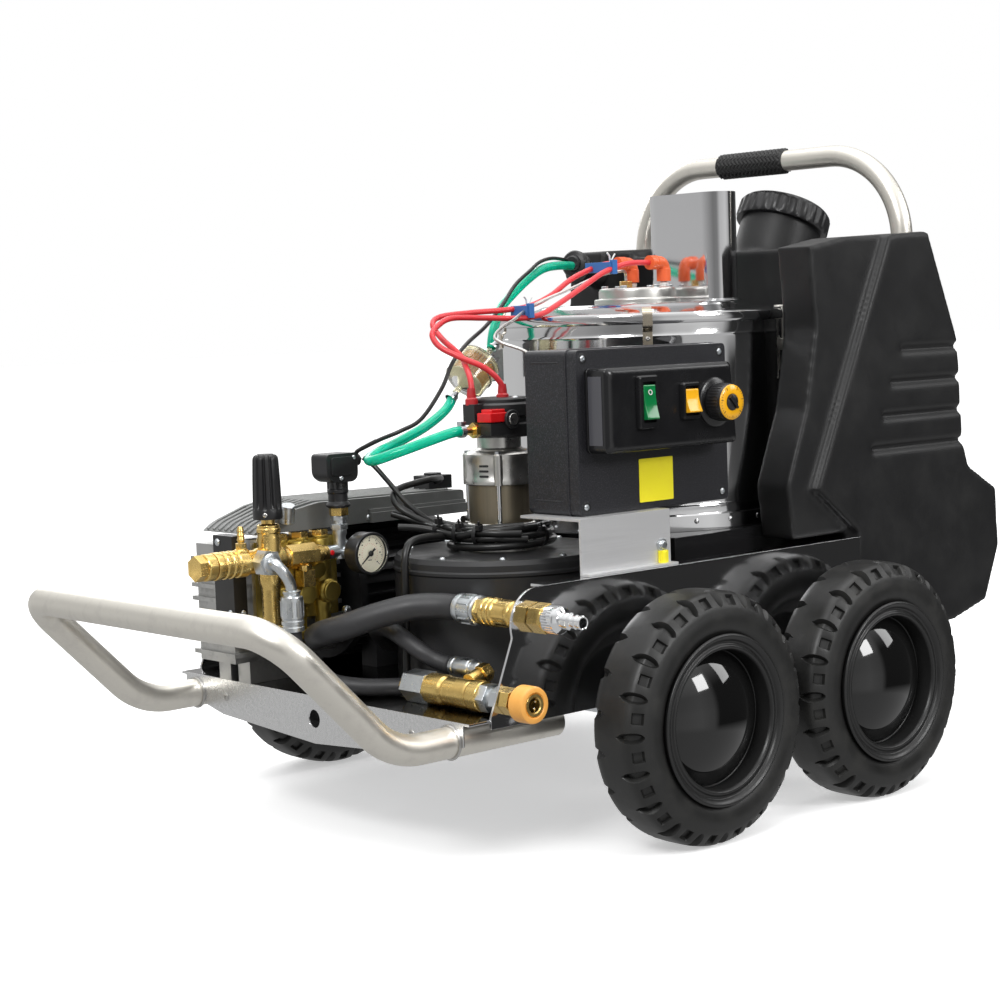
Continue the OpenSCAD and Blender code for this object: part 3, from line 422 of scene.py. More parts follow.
class Piece:
    """One object made of several shapes, each with its own material."""

    def __init__(self, name):
        self.name = name
        self.bm = bmesh.new()
        self.materials = []

    def shape(self, material, points, faces, place=None):
        """Points in millimetres and faces as lists of their numbers, in one material."""
        if material not in self.materials:
            self.materials.append(material)
        index = self.materials.index(material)
        place = place or Matrix.Identity(4)
        verts = [self.bm.verts.new((place @ Vector(p)) * MM) for p in points]
        for f in faces:
            if len(set(f)) < 3:
                continue
            face = self.bm.faces.new([verts[i] for i in dict.fromkeys(f)])
            face.material_index = index

    def loft(self, material, rings, place=None, closed=False, caps=True):
        """Rings of equally many points, each joined to the next one.

        closed joins the last ring to the first; if not, caps fills both ends."""
        n, rows = len(rings[0]), len(rings)
        faces = []
        for j in range(rows if closed else rows - 1):
            a, b = j * n, (j + 1) % rows * n
            faces += [(a + k, a + (k + 1) % n, b + (k + 1) % n, b + k) for k in range(n)]
        if caps and not closed:
            faces += [tuple(range(n - 1, -1, -1)), tuple(range(rows * n - n, rows * n))]
        self.shape(material, [p for ring in rings for p in ring], faces, place)

    def prism(self, material, origin, axis, outline, height, top=1.0):
        """An outline pushed along an axis; top scales its far end."""
        near = [(x, y, 0) for x, y in outline]
        far = [(x * top, y * top, height) for x, y in outline]
        self.loft(material, [near, far], aimed(origin, axis))

    def slab(self, material, outline, y, depth):
        """An [x, z] outline that stands across Y from y to y + depth."""
        self.loft(material, [[(x, at, z) for x, z in outline] for at in (y, y + depth)])

    def block(self, material, low, high):
        """A box between two opposite corners."""
        outline = [(low[0], low[2]), (high[0], low[2]), (high[0], high[2]), (low[0], high[2])]
        self.slab(material, outline, low[1], high[1] - low[1])

    def hexagon(self, material, origin, axis, length, flats, turn=0):
        """A hexagon bar, flats across, turned by degrees about its axis."""
        reach = flats / math.sqrt(3)
        outline = [(reach * c, reach * s) for c, s in spokes(6, turn)]
        self.prism(material, origin, axis, outline, length)

    def lathe(self, material, origin, axis, profile, steps=48, closed=False):
        """A [radius, height] profile turned about an axis."""
        points, rings = [], []
        for r, h in profile:
            if r < ON_AXIS:
                rings.append([len(points)] * steps)
                points.append((0, 0, h))
            else:
                rings.append([len(points) + k for k in range(steps)])
                points += [(r * c, r * s, h) for c, s in spokes(steps)]
        if closed:
            rings.append(rings[0])
        faces = [
            (a[k], a[(k + 1) % steps], b[(k + 1) % steps], b[k])
            for a, b in zip(rings, rings[1:]) for k in range(steps)
        ]
        self.shape(material, points, faces, aimed(origin, axis))

    def ring(self, material, origin, axis, radii, span, steps=48):
        """A plain ring between two radii over a span of heights; a disc from radius 0."""
        (inner, outer), (low, high) = radii, span
        profile = [(inner, low), (outer, low), (outer, high), (inner, high)]
        self.lathe(material, origin, axis, profile, steps, closed=inner > 0)

    def rod(self, material, origin, axis, length, radius, steps=40):
        """A turned bar with broken edges."""
        e = min(0.6, radius * 0.4, length * 0.4)
        profile = [
            (0, 0), (radius - e, 0), (radius, e), (radius, length - e),
            (radius - e, length), (0, length),
        ]
        self.lathe(material, origin, axis, profile, steps)

    def sweep(self, material, path, radius, sides=16, closed=False):
        """A round bar along a path; radius may be one number or one a point."""
        path = [Vector(p) for p in path]
        n = len(path)
        side = Vector((0.31, 0.17, 0.93))  # any direction, turned square to the path
        rings = []
        for i, p in enumerate(path):
            before = path[i - 1] if closed or i else path[0]
            after = path[(i + 1) % n] if closed or i < n - 1 else path[-1]
            along = (after - before).normalized()
            side = (side - along * side.dot(along)).normalized()
            up = along.cross(side)
            r = radius[i] if isinstance(radius, (list, tuple)) else radius
            rings.append([p + (side * c + up * s) * r for c, s in spokes(sides)])
        self.loft(material, rings, closed=closed)

    def node(self, material, name, choose=None):
        """The CAD node's own shape, with its flat faces joined up."""
        copy = bmesh.new()
        copy.from_mesh(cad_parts[name].data)
        bmesh.ops.remove_doubles(copy, verts=copy.verts, dist=0.00002)
        bmesh.ops.dissolve_limit(
            copy, angle_limit=math.radians(0.5), verts=copy.verts, edges=copy.edges
        )
        copy.verts.index_update()
        groups = {}
        for f in copy.faces:
            centre = f.calc_center_median() / MM
            mat = (choose(centre) if choose else None) or material
            groups.setdefault(mat.name, (mat, []))[1].append([v.index for v in f.verts])
        points = [tuple(v.co / MM) for v in copy.verts]
        verts = [self.bm.verts.new(Vector(p) * MM) for p in points]
        for mat, faces in groups.values():
            if mat not in self.materials:
                self.materials.append(mat)
            index = self.materials.index(mat)
            for f in faces:
                face = self.bm.faces.new([verts[i] for i in f])
                face.material_index = index
        copy.free()

    def screw(self, origin, axis, radius, material=None, height=1.6):
        """A pan-head screw with a six-lobed recess."""
        mat = material or STEEL
        e = height * 0.6
        self.lathe(
            mat, origin, axis,
            [
                (radius * 0.98, 0), (radius, height * 0.2), (radius * 0.86, e),
                (radius * 0.55, height), (radius * 0.42, height),
                (radius * 0.36, height * 0.35), (0, height * 0.35),
            ],
            24,
        )

    def done(self, body=ROOT, replaces=(), bevel=0.0, angle=32, segments=2):
        """The finished object, tied to its body and the CAD nodes it replaces.

        Edges sharper than angle are rounded by bevel, or kept sharp without one."""
        bmesh.ops.recalc_face_normals(self.bm, faces=self.bm.faces)
        mesh = bpy.data.meshes.new(self.name)
        self.bm.to_mesh(mesh)
        self.bm.free()
        for m in self.materials:
            mesh.materials.append(m)
        obj = bpy.data.objects.new(self.name, mesh)
        bpy.context.scene.collection.objects.link(obj)
        mesh.shade_smooth()
        if bevel:
            edge = obj.modifiers.new("edges", "BEVEL")
            edge.width = bevel * MM
            edge.segments = segments
            edge.limit_method = "ANGLE"
            edge.angle_limit = math.radians(angle)
            edge.use_clamp_overlap = True
            edge.miter_outer = "MITER_ARC"
            even = obj.modifiers.new("normals", "WEIGHTED_NORMAL")
            even.keep_sharp = True
        else:
            mesh.set_sharp_from_angle(angle=math.radians(angle))
        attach(obj, body)
        if replaces:
            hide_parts(*replaces)
        return obj


def dressed(node, material, bevel=0.5, choose=None, body=ROOT):
    """A CAD node shown with its own shape, rounded edges and a real finish."""
    piece = Piece(node + "_body")
    piece.node(material, node, choose)
    piece.done(body, [node], bevel)


# ---------------------------------------------------------------- camera, floor, light

CAMERA_AT = (-1760.6, -1895.3, 593.8)
CAMERA_AZIMUTH = 41.796
CAMERA_DOWN = 5.0796
CAMERA_ROLL = -1.99868
CAMERA_LENS = 74.5


def make_camera():
    """The photo's camera, solved from the four wheels."""
    a, p, r = (math.radians(v) for v in (CAMERA_AZIMUTH, CAMERA_DOWN, CAMERA_ROLL))
    ahead = Vector((math.sin(a) * math.cos(p), math.cos(a) * math.cos(p), -math.sin(p)))
    level = Vector((math.cos(a), -math.sin(a), 0))
    up = level.cross(ahead)
    right = level * math.cos(r) + up * math.sin(r)
    top = up * math.cos(r) - level * math.sin(r)
    data = bpy.data.cameras.new("camera")
    data.lens = CAMERA_LENS
    data.sensor_width = 36
    camera = bpy.data.objects.new("camera", data)
    bpy.context.scene.collection.objects.link(camera)
    turn = Matrix((right, top, -ahead)).transposed()
    camera.matrix_world = Matrix.Translation(Vector(CAMERA_AT) * MM) @ turn.to_4x4()
    bpy.context.scene.camera = camera


def make_floor():
    """A white floor, kept out of reflections and bounced light."""
    bm = bmesh.new()
    bmesh.ops.create_grid(bm, x_segments=2, y_segments=2, size=30)
    mesh = bpy.data.meshes.new("floor")
    bm.to_mesh(mesh)
    bm.free()
    floor = bpy.data.objects.new("floor", mesh)
    bpy.context.scene.collection.objects.link(floor)
    mat, _, shader = new_material("floor_white", (0.93, 0.93, 0.93), 0.7, 0.0)
    shader.inputs["Specular IOR Level"].default_value = 0.1
    shader.inputs["Emission Color"].default_value = (1, 1, 1, 1)
    shader.inputs["Emission Strength"].default_value = 0.42
    mesh.materials.append(mat)
    floor.visible_glossy = False
    floor.visible_diffuse = False


def area_light(name, place, aim, size, watts):
    """A rectangular lamp at a place, turned to shine at a point; metres."""
    data = bpy.data.lights.new(name, "AREA")
    data.shape = "RECTANGLE"
    data.size, data.size_y = size
    data.energy = watts
    lamp = bpy.data.objects.new(name, data)
    bpy.context.scene.collection.objects.link(lamp)
    lamp.location = place
    ray = Vector(aim) - Vector(place)
    lamp.rotation_mode = "QUATERNION"
    lamp.rotation_quaternion = ray.to_track_quat("-Z", "Y")


def grey_ramp(tree, value, stops):
    """Greys along a value from 0 to 1; stops are (place, grey) in order."""
    node = tree.nodes.new("ShaderNodeValToRGB")
    tree.links.new(value, node.inputs["Fac"])
    elements = node.color_ramp.elements
    elements[0].position, elements[1].position = stops[0][0], stops[-1][0]
    elements[0].color = (stops[0][1],) * 3 + (1,)
    elements[1].color = (stops[-1][1],) * 3 + (1,)
    for place, grey in stops[1:-1]:
        elements.new(place).color = (grey,) * 3 + (1,)
    return node.outputs["Color"]


def maths(tree, operation, *values):
    """The result of a maths node on numbers and other nodes' outputs."""
    node = tree.nodes.new("ShaderNodeMath")
    node.operation = operation
    for socket, value in zip(node.inputs, values):
        if isinstance(value, float):
            socket.default_value = value
        else:
            tree.links.new(value, socket)
    return node.outputs[0]


def make_studio():
    """A white room for the camera; reflections see darker walls to one side."""
    world = bpy.data.worlds.new("studio")
    bpy.context.scene.world = world
    world.use_nodes = True
    tree = world.node_tree
    back = tree.nodes["Background"]
    coord = tree.nodes.new("ShaderNodeTexCoord")
    split = tree.nodes.new("ShaderNodeSeparateXYZ")
    tree.links.new(coord.outputs["Generated"], split.inputs["Vector"])
    x, y, z = (split.outputs[axis] for axis in "XYZ")
    heights = [(0.0, 0.50), (0.10, 0.46), (0.30, 0.44), (0.55, 0.85), (0.8, 1.15)]
    tree.links.new(grey_ramp(tree, z, heights), back.inputs["Color"])
    walls = [
        (0.0, 0.75), (0.083, 0.45), (0.139, 0.50), (0.185, 1.2), (0.278, 1.45),
        (0.325, 1.0), (0.345, 0.06), (0.472, 0.06), (0.56, 0.30), (0.62, 1.1),
        (0.778, 1.2), (0.889, 1.1), (1.0, 0.75),
    ]
    turn = maths(tree, "ARCTAN2", y, x)
    around = grey_ramp(tree, remapped(tree, turn, -math.pi, math.pi, 0, 1), walls)
    # The walls fade out towards the ceiling and below the floor.
    away = maths(tree, "MAXIMUM", remapped(tree, z, 0.35, 0.7, 0, 1),
                 remapped(tree, z, -0.22, -0.32, 0, 1))
    rest = maths(tree, "SUBTRACT", 1.0, around)
    strength = maths(tree, "MULTIPLY_ADD", rest, away, around)
    tree.links.new(strength, back.inputs["Strength"])
    white = tree.nodes.new("ShaderNodeBackground")
    white.inputs["Color"].default_value = (1, 1, 1, 1)
    white.inputs["Strength"].default_value = 1.0
    path = tree.nodes.new("ShaderNodeLightPath")
    mix = tree.nodes.new("ShaderNodeMixShader")
    out = tree.nodes["World Output"]
    tree.links.new(path.outputs["Is Camera Ray"], mix.inputs["Fac"])
    tree.links.new(back.outputs["Background"], mix.inputs[1])
    tree.links.new(white.outputs["Background"], mix.inputs[2])
    tree.links.new(mix.outputs["Shader"], out.inputs["Surface"])
    for light in (  # name, place, aim, size and watts
        ("key", (-3.2, -1.6, 3.0), (0, 0, 0.3), (1.6, 1.2), 85),
        ("top", (0.3, 0.2, 3.6), (0, 0, 0.3), (3.0, 2.4), 48),
        ("side", (3.4, -2.6, 2.4), (0, 0, 0.4), (1.2, 1.8), 30),
        ("fill", (0.9, -3.3, 1.85), (0, -0.3, 0.2), (0.9, 0.9), 34),
        ("back", (1.5, 3.8, 2.2), (0, 0, 0.4), (3.0, 1.6), 34),
    ):
        area_light(*light)
    bpy.context.scene.view_settings.view_transform = "Standard"


make_camera()
make_floor()
make_studio()

# ---------------------------------------------------------------- cords

CORD_STEPS = 8


def make_cord(name, node, material, slot, route, diameter, stiffness, lay="loose"):
    """A hose or cable that runs from one fitting of the machine to another."""
    points = [p * MM for p in catmull(route, CORD_STEPS)]
    curve = bpy.data.curves.new(name, "CURVE")
    curve.dimensions = "3D"
    curve.bevel_depth = diameter / 2 * MM
    curve.bevel_resolution = 6
    curve.use_fill_caps = True
    line = curve.splines.new("POLY")
    line.points.add(len(points) - 1)
    for spot, p in zip(line.points, points):
        spot.co = (*p, 1)
    line.use_smooth = True
    curve.materials.append(material)
    cord = bpy.data.objects.new(name, curve)
    bpy.context.scene.collection.objects.link(cord)
    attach(cord, ROOT)
    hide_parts(node)


LEAD_BACK = [
    (-175, -80, 495), (-172, -74, 520), (-160, -52, 537), (-147, -28, 549),
    (-146, 4, 568), (-142, 26, 585), (-124, 34, 595), (-84, 22, 599),
    (-36, 8, 601), (0, 6, 605), (38, 8, 617), (75, 10, 636), (110, 12, 648),
    (150, 20, 656), (178, 26, 656),
]
LEAD_FRONT = [
    (-128, -80, 500), (-131, -80, 516), (-148, -72, 534), (-166, -50, 547),
    (-178, -28, 560), (-178, -15, 574), (-164, -10, 585), (-142, -10, 593),
    (-93, -12, 592), (-36, -14, 590), (-2, -16, 594), (33, -18, 609),
    (69, -20, 627), (108, -20, 645), (150, -20, 655), (190, -20, 656),
]
FUEL_FEED = [
    (-36, 40, 554), (-26, 46, 576), (2, 62, 603), (45, 85, 622),
    (100, 115, 641), (160, 150, 655), (220, 182, 660), (268, 202, 660),
]
FUEL_LOOP = [
    (-101, 40, 499), (-116, 38, 482), (-155, 30, 464), (-205, 18, 450),
    (-250, 4, 440), (-280, -14, 434), (-288, -36, 434), (-272, -60, 443),
    (-240, -80, 455), (-216, -89, 462), (-200, -90, 463),
]
FUEL_PIPE = [
    (-110, -122, 475), (-110, -128, 500), (-112, -116, 545), (-132, -84, 563),
    (-126, -68, 570), (-98, -50, 580), (-65, -34, 588), (0, -2, 606),
    (73, 0, 627), (121, 2, 641), (160, 6, 646), (178, 14, 645.5),
    (184, 18, 641), (184, 18, 633.8),
]
SENSOR_CABLE = [
    (268, 212, 668), (205, 178, 670), (150, 145, 664), (95, 105, 652),
    (40, 75, 633), (-4, 52, 608), (-60, 22, 582), (-109, 2, 562),
    (-142, -8, 540), (-164, -12, 510), (-197, -12, 476), (-221, -2, 463),
    (-238, 18, 453), (-252, 38, 442),
]
SWITCH_CABLE = [
    (-246, 40, 432), (-238, 30, 422), (-232, 10, 402), (-226, -12, 380),
    (-214, -30, 362), (-200, -42, 350),
]
MOTOR_CABLE = [
    (-200, -50, 345), (-232, -10, 372), (-222, 10, 392), (-160, 20, 400),
    (-110, 60, 396), (-90, 100, 388),
]
DROP_CABLE = [
    (-190, -58, 338), (-226, -56, 341), (-256, -57, 338), (-269, -60, 322),
    (-272, -62, 290), (-273, -62, 250), (-275, -63, 210), (-277, -64, 172.5),
]
INLET_ROUTE = [
    (-266, -151.7, 270), (-266, -144, 270), (-275, -124, 271), (-295, -100, 270),
    (-322, -74, 262), (-344, -44, 250), (-351, -10, 240), (-340, 20, 232),
    (-320, 42, 229), (-306, 50, 229),
]
PUMP_ROUTE = [
    (-385, 4, 244.7), (-385, 4, 236), (-384, 0, 218), (-376, -12, 200),
    (-358, -32, 186), (-334, -56, 180), (-308, -79, 179), (-286, -104, 179),
    (-279, -130, 179), (-276, -165, 179), (-264, -198, 179), (-236, -224, 180),
    (-190, -236, 181), (-130, -238, 182), (-80, -232, 184), (-30, -210, 188),
    (4, -190, 191), (20, -184.5, 192), (36.5, -184, 192),
]
OUTLET_ROUTE = [
    (-278, -149.7, 206), (-278, -142, 206), (-284, -127, 211), (-294, -112, 221),
    (-298, -94, 231), (-294, -68, 238), (-285, -38, 240), (-272, -8, 236),
    (-250, 22, 226), (-220, 48, 210), (-190, 66, 198), (-136, 74, 190),
    (-60, 62, 190), (-10, 34, 194), (16, 28, 196), (36.5, 28, 196),
]

FAN_X, FAN_Y = -136, -80


def loom_coil():
    """The cable bundle's turns round the burner motor's foot."""
    low, turns, pitch, steps = 325.5, 3, 9.3, 14
    route = []
    for k in range(turns * steps + 1):
        a = 2 * math.pi * k / steps + 1.9
        r = 62 - 9 * k / (turns * steps)
        x, y = FAN_X + r * math.cos(a), FAN_Y + r * math.sin(a)
        route.append((x, y, low + pitch * k / steps))
    return route


# Name, CAD node, material, slot, route, diameter, stiffness and, for the coil, lay.
CORDS = [
    ("lead_back", "ignition_leads", LEAD, "red_rubber", LEAD_BACK, 7, "limp"),
    ("lead_front", "ignition_leads", LEAD, "red_rubber", LEAD_FRONT, 7, "limp"),
    ("fuel_feed", "fuel_hoses", FUEL_HOSE, "fuel_hose", FUEL_FEED, 12, "medium"),
    ("fuel_loop", "fuel_hoses", FUEL_HOSE, "fuel_hose", FUEL_LOOP, 12, "medium"),
    ("fuel_pipe", "fuel_hoses", STEEL, "steel_parts", FUEL_PIPE, 4, "stiff"),
    ("sensor_cable", "cable_loom", CABLE, "cable", SENSOR_CABLE, 5, "limp"),
    ("switch_cable", "cable_loom", CABLE, "cable", SWITCH_CABLE, 6, "limp"),
    ("motor_cable", "cable_loom", CABLE, "cable", MOTOR_CABLE, 8, "medium"),
    ("drop_cable", "cable_loom", CABLE, "cable", DROP_CABLE, 9, "medium"),
    ("loom_coil", "cable_loom", CABLE, "cable", loom_coil(), 9, "medium", "coiled"),
    ("inlet_hose_tube", "inlet_hose", HOSE, "hose_rubber", INLET_ROUTE, 30, "stiff"),
    ("pump_hose", "pressure_hoses", HOSE, "hose_rubber", PUMP_ROUTE, 20, "stiff"),
    ("outlet_hose", "pressure_hoses", HOSE, "hose_rubber", OUTLET_ROUTE, 20, "stiff"),
]
for cord in CORDS:
    make_cord(*cord)

# ---------------------------------------------------------------- chassis

DECK_FRONT = -364
DECK_TOP = 168
BUMPER_R, BUMPER_Y, BUMPER_Z = 17, 240, 145
HANDLE_R, HANDLE_X, HANDLE_TOP = 14, 444, 791


def make_chassis():
    """Deck, side plates, axles, the bumper's tube and the handle."""

    def deck_finish(centre):
        # Top faces get the darkened sheet, a painted reflection; front faces are brushed.
        if centre.z > DECK_TOP - 0.6:
            return DECK_TOP_REFLECTION
        return BRUSHED if centre.x < DECK_FRONT + 1 else None

    dressed("deck", POLISHED, 0.6, deck_finish)
    dressed("side_plates", POLISHED, 0.5)
    dressed("axles", ZINC, 1.0)
    trim = Piece("flange_screws")
    for y in (-176, 176):
        trim.screw((DECK_FRONT, y, 146), (-1, 0, 0), 5)
    trim.done()
    tubes = Piece("bumper_tube")
    half = [(-211, -BUMPER_Y, BUMPER_Z), (-443, -BUMPER_Y, BUMPER_Z), (-586, -BUMPER_Y, 288)]
    path = filleted(
        half + [(x, -y, z) for x, y, z in reversed(half)], [90, 46, 46, 90], 16
    )
    tubes.sweep(SATIN_TUBE, path, BUMPER_R, 40)
    tubes.done(replaces=["bumper_bar"])
    for side, name in ((-1, "near"), (1, "far")):
        weld = Piece("bumper_weld_" + name)
        r = BUMPER_R + 0.8
        ring = [
            (DECK_FRONT - 1.0 + random.uniform(-0.4, 0.4), side * BUMPER_Y + r * c,
             BUMPER_Z + r * s)
            for c, s in spokes(40)
        ]
        weld.sweep(STEEL, ring, 1.8, 8, closed=True)
        weld.done()
    handle = Piece("handle_bow")
    bow = [(HANDLE_X, y, z) for y, z in
           ((-231, 600), (-231, HANDLE_TOP), (231, HANDLE_TOP), (231, 600))]
    handle.sweep(SATIN_TUBE, filleted(bow, [115, 115], 20), HANDLE_R, 40)
    handle.done(replaces=["handle_tube"])


def make_grip():
    """A rubber sleeve with a chevron pattern round its surface."""
    low, high = -41.0, 78.0
    around, along = 120, 118
    rings = []
    for j in range(along + 1):
        y = low + (high - low) * j / along
        end = min(1, (y - low) / 3, (high - y) / 3)
        ring = []
        for k, (c, s) in enumerate(spokes(around)):
            zig = abs(((k / around * 10) % 1) - 0.5) * 2
            band = ((y + zig * 5) / 7.0) % 1
            raised = 1 if 0.22 < band < 0.78 else 0
            radius = HANDLE_R + 0.4 + end * (1.8 + 1.3 * raised)
            ring.append((HANDLE_X + radius * c, y, HANDLE_TOP + radius * s))
        rings.append(ring)
    grip = Piece("handle_sleeve")
    grip.loft(GRIP, rings, caps=False)
    grip.done(replaces=["handle_grip"], angle=60)


make_chassis()
make_grip()

# ---------------------------------------------------------------- wheels

TYRE_R = 142.5
TYRE_W = 79
SEAT_R = 91.3
LUGS = 20
AXLE_Z = 142.5
TYRE_FACE = 383
OUTWARDS = {-1: "-y", 1: "y"}
WHEELS = {
    "front_near": (-86, -1), "front_far": (-86, 1),
    "rear_near": (214, -1), "rear_far": (214, 1),
}
# The tyre's section from the inner seat over the tread to the outer seat,
# as [radius, height]; its outer face is at TYRE_W.
TYRE_SECTION = [
    (SEAT_R, 8), (96, 4.5), (103, 1.5), (112, 0.5), (121, 2.0), (127, 4), (134, 8.5),
    (139.5, 13.5), (141.8, 20), (142.4, 30), (TYRE_R, 39.5), (142.4, 49), (141.8, 59),
    (139.5, 65.5), (134, 70.5), (127, 75), (121, 77), (112, 78.5), (103, 77.5),
    (96, 74.5), (SEAT_R, 71),
]
SECTION_STEPS = 4
GROOVE_DEPTH = 6.5
SLOT_DEPTH = 4.5


def smooth_step(t):
    """A share from 0 to 1, eased in and out."""
    t = max(0.0, min(1.0, t))
    return t * t * (3 - 2 * t)


def tyre_rows():
    """Even points along the section, each with its outward direction."""
    flat = [Vector((r, 0, h)) for r, h in TYRE_SECTION]
    line = [(p.x, p.z) for p in catmull(flat, SECTION_STEPS)]
    rows = []
    for i, (r, h) in enumerate(line):
        before, after = line[max(i - 1, 0)], line[min(i + 1, len(line) - 1)]
        along = Vector((after[0] - before[0], after[1] - before[1])).normalized()
        rows.append((r, h, Vector((along.y, -along.x))))
    return rows


def shoulder_reach(r, h):
    """How far a place of the section lies from the tread's middle, over the shoulder."""
    return abs(h - TYRE_W / 2) + (TYRE_R - r) * 0.8


def lens_width(r, h):
    """Half width of a tread groove where the section is at radius r, height h."""
    t = (shoulder_reach(r, h) - 30.5) / 18.5
    return 5.4 * math.sqrt(max(0.0, 1 - t * t)) if abs(t) < 1 else 0.0


def slot_share(r, h):
    """How deep a shoulder slot is at this place of the section, from 0 to 1."""
    reach = shoulder_reach(r, h)
    return smooth_step((reach - 31.5) / 1.2) * smooth_step((46.5 - reach) / 1.2)


def make_tyre(name, x, side):
    """A tyre whose columns close in on the grooves, so that their edges are crisp."""
    pitch = 360 / LUGS
    tyre = Piece("tyre_skin_" + name)
    place = aimed((x, 0, AXLE_Z), OUTWARDS[side])
    grid = []
    for r, h, out in tyre_rows():
        half = max(lens_width(r, h), 0.25)
        to_angle = math.degrees(1 / r)
        # Offsets within one pitch: groove about 0, slot about half a pitch.
        cuts = [
            (-half - 0.9, 0.0), (-half, 0.25), (-half * 0.55, 1.0), (0, 1.0),
            (half * 0.55, 1.0), (half, 0.25), (half + 0.9, 0.0),
        ]
        middle = pitch / to_angle / 2
        deep = 1.0 if lens_width(r, h) > 0.3 else 0.0
        row = [(c, g * deep * GROOVE_DEPTH) for c, g in cuts]
        s = slot_share(r, h) * SLOT_DEPTH
        row += [
            (middle - 8.6, 0.0), (middle - 6.2, 0.15 * s), (middle - 5.4, s), (middle, s),
            (middle + 5.4, s), (middle + 6.2, 0.15 * s), (middle + 8.6, 0.0),
        ]
        ring = []
        # The inner side is out of step by half a pitch; the middle rows join the two.
        stagger = pitch / 2 if h < TYRE_W / 2 else 0
        share = smooth_step(abs(h - TYRE_W / 2) / 6)
        for lug in range(LUGS):
            for offset, depth in row:
                angle = math.radians(lug * pitch + offset * to_angle + stagger * share)
                sunk = Vector((r, h)) - out * depth
                ring.append((sunk.x * math.cos(angle), sunk.x * math.sin(angle),
                             TYRE_FACE - TYRE_W + sunk.y))
        grid.append(ring)
    tyre.loft(TYRE, grid, place, closed=True)
    tyre.done("wheel_" + name, ["tyre_" + name], angle=38)


def make_rim(name, x, side):
    """A moulded rim and its domed hub cap, two lathed shapes."""
    rim = Piece("rim_skin_" + name)
    outer = softened(
        [
            (10.1, 0), (24, 0), (24, 24), (70, 32), (84, 20), (SEAT_R, 12), (SEAT_R, 70),
            (94, 75), (96.5, 79.5), (93.5, 81.5), (89.5, 79), (87.5, 75.5), (84.5, 75.5),
            (82.5, 78), (79.5, 78), (77.5, 74.5), (77.5, 54), (73, 53), (73, 42),
            (22, 38), (22, 48), (10.1, 48),
        ],
        1.4, 3,
    )
    rim.lathe(RIM, (x, side * 299.9, AXLE_Z), OUTWARDS[side],
              [(r, h + 4 if h > 11 else h) for r, h in outer], 96, closed=True)
    rim.done("wheel_" + name, ["rim_" + name], angle=40)
    dome = Piece("dome_" + name)
    rise, reach = 29.0, 77.2
    ball = (reach ** 2 + rise ** 2) / (2 * rise)
    spread = math.degrees(math.asin(reach / ball))
    shell = [
        (ball * math.sin(math.radians(spread * k / 24)),
         ball * math.cos(math.radians(spread * k / 24)) - ball + rise)
        for k in range(25)
    ]
    shell += [(reach, -3), (reach - 3, -3), (reach - 3, 0), (0, rise - 3)]
    dome.lathe(GLOSS, (x, side * (TYRE_FACE - 25.5), AXLE_Z), OUTWARDS[side], shell, 96)
    dome.done("wheel_" + name, ["hub_cap_" + name], angle=50)


for wheel, (wheel_x, wheel_side) in WHEELS.items():
    make_tyre(wheel, wheel_x, wheel_side)
    make_rim(wheel, wheel_x, wheel_side)

# ---------------------------------------------------------------- tanks


def soft_tank(node):
    """A moulded tank: the CAD shape with its edges and grooves melted."""
    tank = Piece(node + "_skin")
    tank.node(TANK, node)
    obj = tank.done(replaces=[node])
    melt = obj.modifiers.new("melt", "REMESH")
    melt.mode = "VOXEL"
    melt.voxel_size = 3.6 * MM
    melt.use_smooth_shade = True
    soft = obj.modifiers.new("soft", "SMOOTH")
    soft.factor = 0.5
    soft.iterations = 5


soft_tank("water_tank")
soft_tank("fuel_tank")

# ---------------------------------------------------------------- boiler

BOILER_X = 185
BOILER_R = 182
BOILER_LOW = 322


def on_wall(angle, out, side, z):
    """A point at a distance from the boiler's axis, then along the wall."""
    c, s, _ = outward(angle)
    return (BOILER_X + out * c - side * s, out * s + side * c, z)


def make_boiler():
    """The boiler's base, coil, riveted shell and dished lid."""
    # The base is near-black: a painted dark reflection.
    dressed("boiler_base", BASE_DARK_REFLECTION, 0.6)
    dressed("heating_coil", STEEL)
    shell = Piece("boiler_drum")
    wall = [
        (120, BOILER_LOW), (BOILER_R + 3, BOILER_LOW), (BOILER_R + 3.2, 326),
        (BOILER_R + 3.2, 341), (BOILER_R + 2, 342.5), (BOILER_R, 343),
        (BOILER_R, 352), (BOILER_R + 0.8, 354), (BOILER_R, 356),
        (BOILER_R, 560), (BOILER_R + 1.2, 563), (BOILER_R, 566), (BOILER_R, 577.6),
        (BOILER_R - 2, 577.6), (BOILER_R - 2, BOILER_LOW + 2), (120, BOILER_LOW + 2),
    ]
    shell.lathe(BOILER, (BOILER_X, 0, 0), "z", wall, 200, closed=True)
    for a in range(5, 360, 15):
        shell.lathe(BRUSHED, on_wall(a, BOILER_R + 3.2, 0, 334), outward(a),
                    [(3.2, 0), (2.9, 0.9), (1.8, 1.5), (0, 1.7)], 16)
    shell.done(replaces=["boiler_shell"])
    lid = Piece("boiler_top")
    dish = [
        (41, 603), (118, 603), (123, 602.4), (128, 600.2), (134, 598.4), (160, 594.6),
        (180, 591.6), (184.5, 591.2), (187.6, 589.4), (188.6, 586), (188.6, 581),
        (187.8, 578.8), (185.6, 577.9), (184.3, 578.6), (184, 580), (184, 588),
        (181, 589.6), (134, 596.2), (122, 600.4), (41, 600.4),
    ]
    lid.lathe(BOILER, (BOILER_X, 0, 0), "z", dish, 200, closed=True)
    lid.done(replaces=["boiler_lid"])


